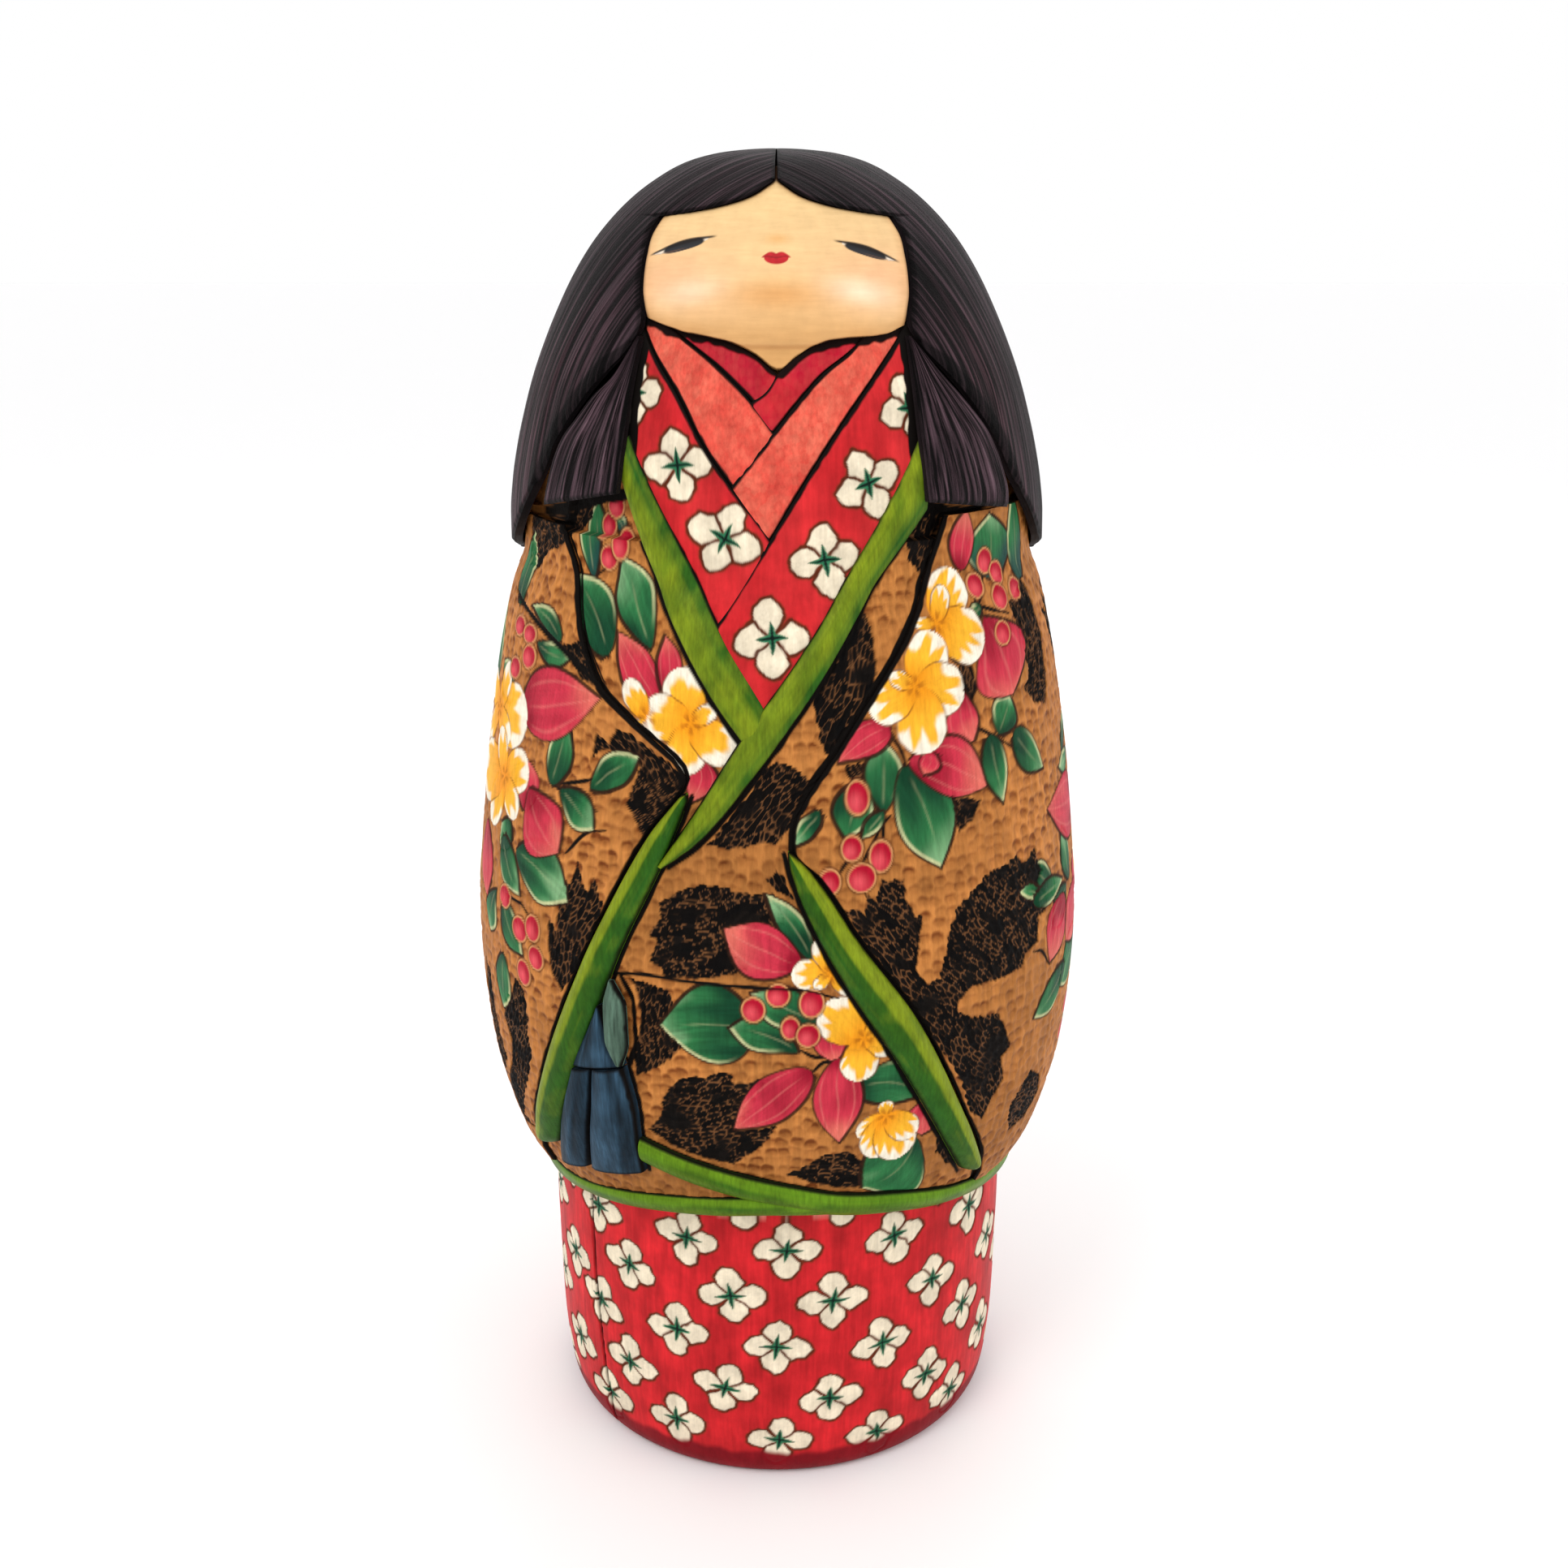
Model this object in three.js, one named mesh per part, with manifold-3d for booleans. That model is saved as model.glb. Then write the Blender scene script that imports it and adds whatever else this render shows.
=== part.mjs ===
// Kokeshi doll: a turned and carved wooden figure with long hair, a layered kimono and a short coat.
// Millimetres, +Z up, the face looks along -Y. Angles are degrees from the front, + to the viewer's right.
import * as THREE from 'three';
import { mergeVertices } from 'three/addons/utils/BufferGeometryUtils.js';
import Module from 'manifold-3d';

const wasm = await Module();
wasm.setup();

// ---- driving dimensions ----
const GAP = 0.35;              // air between neighbouring pieces
const GROUND = 1.0;            // coat ground lies this far under the sleeves
const POCKET_RISE = 5;         // a pocket is cut from this far above the piece that fills it
const SLEEVE_THICK = 3.0;      // sleeve and hair pieces are this thick
const HAIR_THICK = 2.0;
const SLEEVE_BACK = 128;       // angle of the sleeve's back edge
const SKIRT_TOP = 62;          // top of the skirt block, hidden inside the coat
const HEAD_BOTTOM = 196;       // seat of the head block on the body
const HEM_HEIGHT = 5.2;        // width of the green hem band
const TUCK_Z = 106;            // carved tuck line across the front of the coat
const TUCK_DEPTH = 0.5;
const SKIRT_CLEAR = 45.2 + GAP; // the coat and hem are hollow over the skirt block
const OVERLAP_ANGLE = -51;     // carved overlap line down the skirt
const DOWEL_R = 8;             // hidden dowels that join the blocks
const LOWER_DOWEL = [38, 88];
const UPPER_DOWEL = [168, 218];

// Turned profiles as [height, radius].
const SKIRT = [[0, 41.3], [0.6, 42.1], [1.5, 42.8], [3, 43.4], [5, 43.8], [10, 44.4], [16, 44.8],
  [24, 45], [32, 45.1], [40, 45.2], [SKIRT_TOP, 45.2]];
const COAT = [[46, 46.6], [50, 47.0], [54, 47.8], [58, 50.2], [61, 51.8], [65, 53.2], [70, 54.6],
  [76, 56], [84, 57], [92, 57.6], [100, 57.8], [108, 57.6], [116, 56.8], [125, 55.8], [134, 54.7],
  [143, 53.3], [152, 51.8], [160, 50.1], [165, 48.8], [168, 47.8], [172, 46.3], [176, 45.9],
  [184, 45.3], [190, 44.6], [196, 43.5], [202, 42], [208, 40], [214, 37.5]];
// The face and neck lie this far from the hair's profile, as [height, offset].
const FACE = [[204, -3.4], [209.4, -3.2], [210.6, -2.6], [212.4, -1.1], [216, -0.7], [222, -1.2],
  [228, -1.5], [236, -1.6]];
const HAIR = [[168, 48.0], [171, 48.6], [178, 48.5], [184, 47.9], [190, 46.8], [196, 45.3],
  [202, 43.5], [208, 41.2], [214, 38.5], [219, 35.9], [224, 32.7], [228, 29.4], [232, 25.2],
  [235, 21], [237.5, 16.3], [239, 11.1], [239.7, 5.6], [240, 0]];

// Half width of the opening in the hair, as [height, angle]: brow, cheek, lock, shoulder.
const HAIR_OPENING = [[234.2, 0.8], [232.6, 5], [231.2, 10], [229.6, 21], [228.8, 31.5], [228.2, 42],
  [226, 42.2], [222, 40], [217, 37], [211, 33.8], [208, 36], [204.5, 41], [199, 48], [193.5, 53.6],
  [187, 58.4], [182, 64.5], [176.5, 73], [173, 82], [170.5, 92], [166, 92]];

// ---- helpers ----
const rad = (deg) => deg * Math.PI / 180;

function curve(points) {
  const x = points.map((p) => p[0]);
  const y = points.map((p) => p[1]);
  const n = x.length;
  const slope = [];
  for (let i = 0; i < n - 1; i++) slope.push((y[i + 1] - y[i]) / (x[i + 1] - x[i]));
  const m = slope.map((s, i) => (i === 0 ? s : harmonic(slope[i - 1], s)));
  m.push(slope[n - 2]);
  return (q) => {
    if (q <= x[0]) return y[0];
    if (q >= x[n - 1]) return y[n - 1];
    let i = 0;
    while (q > x[i + 1]) i++;
    const h = x[i + 1] - x[i];
    const t = (q - x[i]) / h;
    const a = (1 + 2 * t) * (1 - t) ** 2;
    const b = t * (1 - t) ** 2;
    const c = t * t * (3 - 2 * t);
    const d = t * t * (t - 1);
    return a * y[i] + b * h * m[i] + c * y[i + 1] + d * h * m[i + 1];
  };
}

function harmonic(a, b) {
  return a * b <= 0 ? 0 : 2 * a * b / (a + b);
}

const coatR = curve(COAT);
const hairR = curve(HAIR);
const skirtR = curve(SKIRT);

// Evenly spaced points along a polyline of [angle, height].
function walk(points, steps) {
  const flat = points.map(([a, z]) => [rad(a) * 50, z]);
  const len = [0];
  for (let i = 1; i < flat.length; i++) {
    len.push(len[i - 1] + Math.hypot(flat[i][0] - flat[i - 1][0], flat[i][1] - flat[i - 1][1]));
  }
  const total = len[len.length - 1];
  const out = [];
  for (let s = 0; s <= steps; s++) {
    const d = total * s / steps;
    let i = 0;
    while (i < len.length - 2 && d > len[i + 1]) i++;
    const t = (d - len[i]) / (len[i + 1] - len[i]);
    out.push([0, 1].map((k) => points[i][k] + (points[i + 1][k] - points[i][k]) * t));
  }
  return out;
}

// A closed three.js geometry, welded and moved point by point, as a solid for cutting.
function solid(geometry, place) {
  geometry.deleteAttribute('normal');
  geometry.deleteAttribute('uv');
  const welded = mergeVertices(geometry);
  const position = welded.getAttribute('position');
  const point = new THREE.Vector3();
  for (let i = 0; i < position.count; i++) {
    point.fromBufferAttribute(position, i);
    place(point);
    position.setXYZ(i, point.x, point.y, point.z);
  }
  const numProp = 3;
  const vertProperties = position.array;
  const triVerts = new Uint32Array(welded.index.array);
  const m = new wasm.Manifold(new wasm.Mesh({ numProp, vertProperties, triVerts }));
  if (m.volume() > 0) return m;
  for (let i = 0; i < triVerts.length; i += 3) {
    [triVerts[i + 1], triVerts[i + 2]] = [triVerts[i + 2], triVerts[i + 1]];
  }
  return new wasm.Manifold(new wasm.Mesh({ numProp, vertProperties, triVerts }));
}

const polar = (point, angle, radius, z) =>
  point.set(radius * Math.sin(rad(angle)), -radius * Math.cos(rad(angle)), z);

// A block turned around Z: rings from the foot line up, the radius may change with angle.
function turned(heights, segments, radiusAt, footAt = () => heights[0]) {
  const low = heights[0];
  const top = heights[heights.length - 1];
  const outline = heights.map((h) => new THREE.Vector2(1, h));
  outline.unshift(new THREE.Vector2(0, low));
  outline.push(new THREE.Vector2(0, top));
  return solid(new THREE.LatheGeometry(outline, segments), (p) => {
    const angle = (THREE.MathUtils.radToDeg(Math.atan2(p.x, p.z)) + 360) % 360;
    const onAxis = Math.hypot(p.x, p.z) < 0.5;
    const foot = footAt(onAxis ? 0 : angle);
    const z = foot + (top - foot) * (p.y - low) / (top - low);
    polar(p, angle, onAxis ? 0 : radiusAt(angle, z), z);
  });
}

const cylinder = (z0, z1, r, segments = 20) => turned([z0, z1], segments, () => r);

// A carved strip: a box bent onto the turned surface between two edge lines of [angle, height].
// outer(u, t, z) and inner(z) give its radii; grow makes the matching pocket for a neighbour.
function strip(spec, grow = 0) {
  const { rows, cols, outer, inner } = spec;
  const left = walk(spec.left, rows);
  const right = walk(spec.right, rows);
  const box = new THREE.BoxGeometry(1, 1, 1, cols, rows, 1);
  return solid(box, (p) => {
    const u = p.x + 0.5;
    const t = 0.5 - p.y;
    const k = Math.round(t * rows);
    const row = (i) => {
      const [[la, lz], [ra, rz]] = [left[i], right[i]];
      const width = Math.hypot((ra - la) * rad(1) * outer(0.5, t, (lz + rz) / 2), rz - lz) || 1;
      const v = u + (2 * u - 1) * grow / width;
      return [la + (ra - la) * v, lz + (rz - lz) * v];
    };
    let [angle, z] = row(k);
    if (grow && (k === 0 || k === rows)) {
      const [a, h] = row(k === 0 ? 1 : rows - 1);
      const length = Math.hypot((angle - a) * rad(1) * 50, z - h) || 1;
      angle += (angle - a) * Math.abs(grow) / length;
      z += (z - h) * Math.abs(grow) / length;
    }
    const face = outer(u, t, z) + (grow > 0 ? POCKET_RISE : 0);
    polar(p, angle, p.z > 0 ? face : inner(z) - grow, z);
  });
}

const level = (offset) => (u, t, z) => coatR(z) + offset;
const under = (offset) => (z) => coatR(z) - offset;
const crown = (edge, top, at = 0.5) => (u, t, z) =>
  coatR(z) + edge + (top - edge) * (1 - Math.abs(u - at) / (u < at ? at : 1 - at));

const bead = (u, t, z) => coatR(z) + (u > 0.1 && u < 0.9 ? 1.4 : -0.1);

// ---- carved lines of the coat and the kimono, as [angle, height] ----
const SLEEVE_L_FRONT = [[-53, 179], [-46.6, 172], [-39.8, 160], [-34.5, 154], [-27, 149.5],
  [-16, 141], [-17.4, 138], [-22.8, 131.8], [-31.6, 116], [-38.6, 101.6], [-49.2, 80.5], [-57.4, 66],
  [-59, 57.5]];
const SLEEVE_R_FRONT = [[38, 182], [28, 166], [13.5, 149], [3, 132], [3.2, 129.6], [7.6, 125.2],
  [14.2, 114.8], [24.4, 100.4], [36.4, 78.6], [45.4, 64], [47, 57.5]];
const BEAD_L_OUT = [[-16.6, 138.4], [-22.4, 131.6], [-31.2, 115.9], [-38.2, 101.4], [-48.8, 80.3],
  [-57, 65.4]];
const BEAD_L_IN = [[-15.2, 137.4], [-19.4, 127.7], [-26.6, 112.7], [-32.0, 99.6], [-40.4, 81.6],
  [-48.6, 65.9]];
const BEAD_R_OUT = [[2.6, 130.2], [7.2, 125], [13.8, 114.6], [24, 100.2], [36, 78.4], [45, 63.8]];
const BEAD_R_IN = [[1.6, 129], [3.7, 122.6], [10, 109.6], [21, 91.9], [32.4, 73.4], [39.8, 63.4]];
const HEM_LINE = [[-180, 48.6], [-120, 48.6], [-90, 49.4], [-65, 51.4], [-47, 54], [-31, 57.2],
  [-22, 58.8], [-12, 60], [0, 61], [12, 60.4], [25, 58.2], [40, 54.8], [53, 52.6], [72, 50.4],
  [90, 49.4], [120, 48.6], [180, 48.6]];
const HEM_OVERLAP = [[-25.5, 70.4], [-17, 67.8], [-6, 65], [3, 62.8], [12, 60.4]];

const raise = (points, h) => points.map(([a, z]) => [a, z + h]);
const hemRight = HEM_OVERLAP.concat(HEM_LINE.filter(([a]) => a > 12 && a < 180), [[179.6, 48.6]]);
const hemLeft = [[-179.6, 48.6]].concat(HEM_LINE.filter(([a]) => a > -180 && a < 0), [[4, 61.2]]);

const collar = (left, right, edge, top, base) => ({
  left, right, rows: 10, cols: 2, outer: crown(edge, top), inner: under(base),
});

const specs = {
  hair_lock_left: {
    left: [[-34.2, 209.6], [-38.6, 203.7], [-43.4, 200.4], [-48, 196.4], [-51.9, 193], [-54.2, 189],
      [-56.4, 182]],
    right: [[-33.4, 209.2], [-33.4, 207], [-33.4, 201.6], [-33.1, 194], [-33.4, 185.7]],
    rows: 8, cols: 6, inner: (z) => hairR(z) - HAIR_THICK,
    outer: (u, t, z) => hairR(z) - 0.1 + 0.25 * (Math.round(u * 6) % 2),
  },
  hair_lock_right: {
    left: [[32.4, 209.6], [31.8, 203], [31.3, 194.2], [31.4, 188], [31.8, 184.4]],
    right: [[33.2, 209.6], [39.6, 203.9], [46.6, 198.6], [52, 193.8], [55, 188.4], [56.2, 184.3],
      [55.6, 181.8]],
    rows: 8, cols: 6, inner: (z) => hairR(z) - HAIR_THICK,
    outer: (u, t, z) => hairR(z) - 0.1 + 0.25 * (Math.round(u * 6) % 2),
  },
  sleeve_bead_left: {
    left: BEAD_L_OUT, right: BEAD_L_IN, rows: 14, cols: 3, outer: bead, inner: under(2.4),
  },
  sleeve_bead_right: {
    left: BEAD_R_IN, right: BEAD_R_OUT, rows: 14, cols: 3, outer: bead, inner: under(2.4),
  },
  tassel_knot: {
    left: [[-29.0, 106], [-30.4, 101], [-30.4, 95], [-28.4, 90.4]],
    right: [[-28.2, 106], [-25.8, 101.6], [-25.6, 95], [-27.0, 90.2]],
    rows: 8, cols: 4, outer: crown(0.4, 1.7), inner: under(0.6),
  },
  tassel_cap: {
    left: [[-31.6, 100.6], [-35, 94], [-38.6, 87.2]],
    right: [[-31.0, 100.8], [-29.6, 94.6], [-27.2, 90]],
    rows: 6, cols: 4, outer: crown(0.1, 0.9), inner: under(1.6),
  },
  tassel_skirt: {
    left: [[-38.4, 86.8], [-43, 76], [-48.6, 63.4]],
    right: [[-27.4, 89.6], [-26.2, 80], [-26.6, 68.6]],
    rows: 8, cols: 8, inner: under(1.8),
    outer: (u, t, z) => coatR(z) + 0.4 + 0.9 * Math.sin(Math.PI * u) - 1.1 * (Math.round(u * 8) === 3),
  },
  coat_collar_right: collar(
    [[31.8, 194], [16.6, 175.7], [3.3, 159.7], [-6, 148.3], [-15, 134.8], [-20.6, 126.9]],
    [[32.8, 182.4], [19, 170], [7.0, 155.2], [-3.6, 142], [-13, 131], [-19.2, 126.2]], -0.4, 0.5, 2.6,
  ),
  coat_collar_left: collar(
    [[-34.8, 188], [-28.2, 176.4], [-17.9, 161.8], [-10.8, 152.6], [-5.4, 146.4]],
    [[-33.2, 194.6], [-19.2, 176.8], [-8.6, 162.2], [-2.1, 153.3], [-0.6, 150.2]], -0.4, 0.5, 2.6,
  ),
  collar_outer_right: collar(
    [[30.6, 208.4], [15.7, 195.8], [-1.2, 179.5], [-11.9, 164.9]],
    [[34, 192], [17.6, 175.7], [4.2, 159.7], [-3.2, 151]], -0.75, -0.65, 2.4,
  ),
  collar_outer_left: collar(
    [[-36, 203.6], [-34, 193], [-19.6, 176.4], [-8.8, 161.6], [-2.3, 152.8]],
    [[-33, 209], [-22.6, 199.3], [-8.9, 186.8], [-2, 179.8], [4, 171]], -0.75, -0.65, 2.4,
  ),
  collar_middle_right: collar(
    [[28.8, 209.8], [17.1, 206.8], [-1.3, 195.9], [-9.2, 187]],
    [[32.4, 208.2], [16, 195.4], [2, 182.4], [-2, 179.4]], -1, -0.9, 2.4,
  ),
  collar_middle_left: collar(
    [[-33.2, 208.2], [-22.4, 199], [-8.7, 186.4]],
    [[-29, 210.2], [-15.6, 203.1], [-2.1, 195.7]], -1, -0.9, 2.4,
  ),
  collar_inner_right: collar(
    [[19, 210], [8.6, 207.2], [0, 203.4], [-4.6, 199.2]],
    [[26.5, 209.6], [17.1, 206.4], [7, 201.4], [-1.2, 195.6]], -1.4, -1.3, 2.6,
  ),
  collar_inner_left: collar(
    [[-28.6, 209.8], [-15.4, 202.8], [-4.2, 197.6]],
    [[-21, 210], [-10.5, 206.4], [-0.4, 203.6]], -1.4, -1.3, 2.6,
  ),
  hem_band_right: {
    left: hemRight, right: raise(hemRight, HEM_HEIGHT), rows: 34, cols: 2,
    outer: crown(-0.8, 0.3), inner: () => SKIRT_CLEAR,
  },
  hem_band_left: {
    left: hemLeft, right: raise(hemLeft, HEM_HEIGHT - 0.6), rows: 32, cols: 2,
    outer: crown(-1, 0), inner: () => SKIRT_CLEAR,
  },
  sleeve_left: {
    left: [[-SLEEVE_BACK, 178], [-SLEEVE_BACK, 120], [-SLEEVE_BACK, 57.5]], right: SLEEVE_L_FRONT,
    rows: 16, cols: 9, outer: level(0), inner: under(SLEEVE_THICK),
  },
  sleeve_right: {
    left: SLEEVE_R_FRONT, right: [[SLEEVE_BACK, 178], [SLEEVE_BACK, 120], [SLEEVE_BACK, 57.5]],
    rows: 16, cols: 9, outer: level(0), inner: under(SLEEVE_THICK),
  },
};

// ---- build ----
const COLOURS = {
  hair: 0x2a2226, face: 0xf2d9a4, coat: 0xb07c46, green: 0x6f9a25, red: 0xc62a2c,
  coral: 0xdd5a4c, crimson: 0xb81f3a, tassel: 0x2c3f57, knot: 0x55695a, dowel: 0xd8b98a,
};
const COLOUR_OF = [
  [/^hair/, 'hair'], [/^sleeve_bead|^hem|^coat_collar/, 'green'], [/^collar_outer|^skirt/, 'red'],
  [/^collar_middle/, 'coral'], [/^collar_inner/, 'crimson'], [/^tassel_knot/, 'knot'],
  [/^tassel/, 'tassel'], [/^head/, 'face'], [/^dowel/, 'dowel'], [/./, 'coat'],
];

const steps = (a, b, n) => Array.from({ length: n + 1 }, (_, i) => a + (b - a) * i / n);

// The window in the hair for the face, with its edges moved in by the given gap.
function opening(inset, extra = 0) {
  const edge = HAIR_OPENING.map(([z, a]) => [Math.max(a - inset / 0.6, 0.2), z - inset]);
  return {
    left: edge.map(([a, z]) => [-a, z]), right: edge, rows: 28, cols: 10, inner: (z) => hairR(Math.max(z, 170)) - 7,
    outer: (u, t, z) => hairR(Math.max(z, 170)) + 4 + extra,
  };
}

// Long hair: a dome, open over the face and the shoulders.
function hair(grow = 0) {
  const heights = [170.5, 175, 182, 190, 198, 206, 214, 221, 227, 232, 235.8, 238.4, 239.7];
  const rise = grow ? POCKET_RISE : 0;
  const dome = turned(heights.concat(240 + rise), 56, (a, z) =>
    (z > 239.9 ? 2.5 : hairR(z)) + rise);
  const inside = turned([160, 172, 184, 196, 208, 218, 226, 232, 236.8], 36, (a, z) =>
    Math.max(hairR(z) - HAIR_THICK - grow, 3));
  return dome.subtract(inside).subtract(strip(opening(grow, rise)));
}

function biggest(m) {
  return m.decompose().reduce((a, b) => (b.volume() > a.volume() ? b : a));
}

const pieces = { hair_back: hair() };
const pockets = { hair_back: hair(GAP) };
const raised = Object.keys(specs);
const ORDER = ['hair_lock_left', 'hair_lock_right', 'sleeve_bead_left', 'sleeve_bead_right',
  'sleeve_left', 'sleeve_right', 'tassel_knot', 'tassel_cap', 'tassel_skirt'];
ORDER.push(...raised.filter((name) => !ORDER.includes(name)));
ORDER.forEach((name) => {
  const own = Object.values(pockets).reduce((m, pocket) => m.subtract(pocket), strip(specs[name]));
  pieces[name] = biggest(own);
  pockets[name] = strip(specs[name], GAP);
});

// Coat block: the ground under the raised work, hollow below for the skirt block.
const hemFoot = curve(HEM_LINE);
const foot = (a) => hemFoot(a > 180 ? a - 360 : a) + HEM_HEIGHT - 0.6 + GAP;
const coatHeights = [54, 58, 62, 67, 74, 84, 96, 108, 120, 132, 144, 156, 166, 174, 184,
  HEAD_BOTTOM - GAP];
const ground = turned(coatHeights, 60, (a, z) => coatR(z) - GROUND, foot);
// The lower front steps back a little under the carved tuck line.
const tuck = strip({
  left: [[-33, TUCK_Z], [-52, 62]], right: [[14, TUCK_Z], [42, 62]],
  rows: 6, cols: 8, inner: under(GROUND + TUCK_DEPTH), outer: level(3),
});
const socket = (span) => cylinder(span[0] - 0.5, span[1] + 0.5, DOWEL_R + 0.3);
const cut = (block, names) => names.reduce((m, name) => m.subtract(pockets[name]), block);
pieces.coat_body = biggest(cut(ground.subtract(tuck), ORDER)
  .subtract(cylinder(40, SKIRT_TOP + GAP, SKIRT_CLEAR, 60))
  .subtract(socket(LOWER_DOWEL)).subtract(socket(UPPER_DOWEL)));

// Head block: the wooden core under the hair with the face and neck standing in its opening.
const faceOffset = curve(FACE);
const core = turned([HEAD_BOTTOM, 204, 211, 212.4, 218, 225, 231, 236.2], 40, (a, z) =>
  (z < 212 ? coatR(z) - 3.2 : hairR(z) - HAIR_THICK - 3 * GAP));
const windowEdge = opening(GAP).right.filter(([a, z]) => z > 211 && a > 1);
const neckV = [[31, 211.2], [20.4, 210.3], [10, 206.8], [0.8, 205]];
const faceEdge = windowEdge.concat(neckV);
const face = strip({
  left: faceEdge.map(([a, z]) => [-a, z]), right: faceEdge, rows: 26, cols: 10,
  inner: (z) => coatR(Math.min(z, 206)) - 14, outer: (u, t, z) => hairR(z) + faceOffset(z),
});
const nearHead = Object.keys(pockets).filter((name) => /^hair|^collar/.test(name));
pieces.head_block = biggest(cut(core.add(face), nearHead).subtract(socket(UPPER_DOWEL)));

// Skirt block: turned, with one carved overlap line.
const skirtHeights = SKIRT.map(([z]) => z);
const line = strip({
  left: [[OVERLAP_ANGLE - 0.5, -3], [OVERLAP_ANGLE - 0.5, 58]],
  right: [[OVERLAP_ANGLE + 0.5, -3], [OVERLAP_ANGLE + 0.5, 58]],
  rows: 4, cols: 1, inner: (z) => skirtR(Math.max(z, 3)) - 0.9, outer: () => 60,
});
pieces.skirt_block = turned(skirtHeights, 72, (a, z) => skirtR(z)).subtract(line)
  .subtract(socket(LOWER_DOWEL));
pieces.dowel_lower = cylinder(LOWER_DOWEL[0], LOWER_DOWEL[1], DOWEL_R);
pieces.dowel_upper = cylinder(UPPER_DOWEL[0], UPPER_DOWEL[1], DOWEL_R);

const doll = new THREE.Group();
Object.entries(pieces).forEach(([name, piece]) => {
  const mesh = piece.getMesh();
  const geometry = new THREE.BufferGeometry();
  geometry.setAttribute('position', new THREE.BufferAttribute(new Float32Array(mesh.vertProperties), 3));
  geometry.setIndex(Array.from(mesh.triVerts));
  geometry.computeVertexNormals();
  const colour = COLOURS[COLOUR_OF.find(([pattern]) => pattern.test(name))[1]];
  const material = new THREE.MeshStandardMaterial({ color: colour, roughness: 0.6 });
  material.name = name;
  const part = new THREE.Mesh(geometry, material);
  part.name = name;
  doll.add(part);
});

export default doll;
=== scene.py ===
import math

import bpy
import numpy as np
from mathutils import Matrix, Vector


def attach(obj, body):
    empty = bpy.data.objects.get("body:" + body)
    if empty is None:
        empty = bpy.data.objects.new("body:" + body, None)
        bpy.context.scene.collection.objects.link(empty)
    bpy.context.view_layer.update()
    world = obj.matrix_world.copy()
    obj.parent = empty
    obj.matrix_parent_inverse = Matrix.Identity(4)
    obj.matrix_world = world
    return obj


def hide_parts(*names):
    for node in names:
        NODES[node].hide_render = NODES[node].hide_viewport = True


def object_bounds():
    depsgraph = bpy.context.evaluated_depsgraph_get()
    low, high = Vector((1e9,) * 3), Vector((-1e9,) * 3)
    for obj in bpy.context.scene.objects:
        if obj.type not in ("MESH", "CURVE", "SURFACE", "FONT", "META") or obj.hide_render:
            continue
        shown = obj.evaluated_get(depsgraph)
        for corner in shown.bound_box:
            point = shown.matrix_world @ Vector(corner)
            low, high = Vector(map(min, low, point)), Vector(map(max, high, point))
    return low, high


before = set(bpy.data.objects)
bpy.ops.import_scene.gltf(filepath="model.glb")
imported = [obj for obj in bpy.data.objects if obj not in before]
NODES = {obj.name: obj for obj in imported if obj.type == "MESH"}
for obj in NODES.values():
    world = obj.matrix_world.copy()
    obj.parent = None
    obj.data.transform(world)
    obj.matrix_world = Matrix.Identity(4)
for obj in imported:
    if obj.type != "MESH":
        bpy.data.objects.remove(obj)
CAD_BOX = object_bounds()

# Looks of the kokeshi doll: dense carved and painted pieces that stand for the CAD nodes, in the CAD's own frame.
# Lengths are millimetres until a mesh is made. Angles are degrees round +Z from the front, + to the viewer's right.
# Left and right are the viewer's.

MM = 0.001
HEIGHT = CAD_BOX[1].z - CAD_BOX[0].z
FLAT_RADIUS = 52  # mm, turns angles into flat places for noise and grain
EYE_RADIUS = 33.5  # mm, of the face at the eyes
CHEEK_RADIUS = 36
ALL = slice(None)

# ---------------------------------------------------------------- turned profiles, as (height, radius)
SKIRT = ((0, 41.3), (0.6, 42.1), (1.5, 42.8), (3, 43.4), (5, 43.8), (10, 44.4), (16, 44.8), (24, 45), (32, 45.1),
         (40, 45.2), (62, 45.2))
COAT = ((46, 46.6), (50, 47.0), (54, 47.8), (58, 50.2), (61, 51.8), (65, 53.2), (70, 54.6), (76, 56), (84, 57),
        (92, 57.6), (100, 57.8), (108, 57.6), (116, 56.8), (125, 55.8), (134, 54.7), (143, 53.3), (152, 51.8),
        (160, 50.1), (165, 48.8), (168, 47.8), (172, 46.3), (176, 45.9), (184, 45.3), (190, 44.6), (196, 43.5),
        (202, 42), (208, 40), (214, 37.5))
HAIR = ((168, 48.0), (171, 48.6), (178, 48.5), (184, 47.9), (190, 46.8), (196, 45.3), (202, 43.5), (208, 41.2),
        (214, 38.5), (219, 35.9), (224, 32.7), (228, 29.4), (232, 25.2), (235, 21), (237.5, 16.3), (239, 11.1),
        (239.7, 5.6), (240, 0))
FACE = ((200, -3.2), (206.6, -3.0), (207.8, -2.6), (209, -1.7), (210.8, -0.95), (214, -0.6), (222, -1.0),
        (228, -1.3), (236, -1.6))
# Half width of the opening in the hair, as (height, angle).
OPENING = ((166, 92), (170.5, 92), (173, 82), (176.5, 73), (182, 64.5), (187, 58.4), (193.5, 53.6), (199, 48),
           (204.5, 41), (208, 36), (211, 33.8), (217, 37), (222, 40), (226, 42.2), (228.2, 42),
           (228.8, 31.5), (229.6, 21), (231.2, 10), (232.6, 5), (234.2, 0.6), (240, 0.6))

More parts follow.
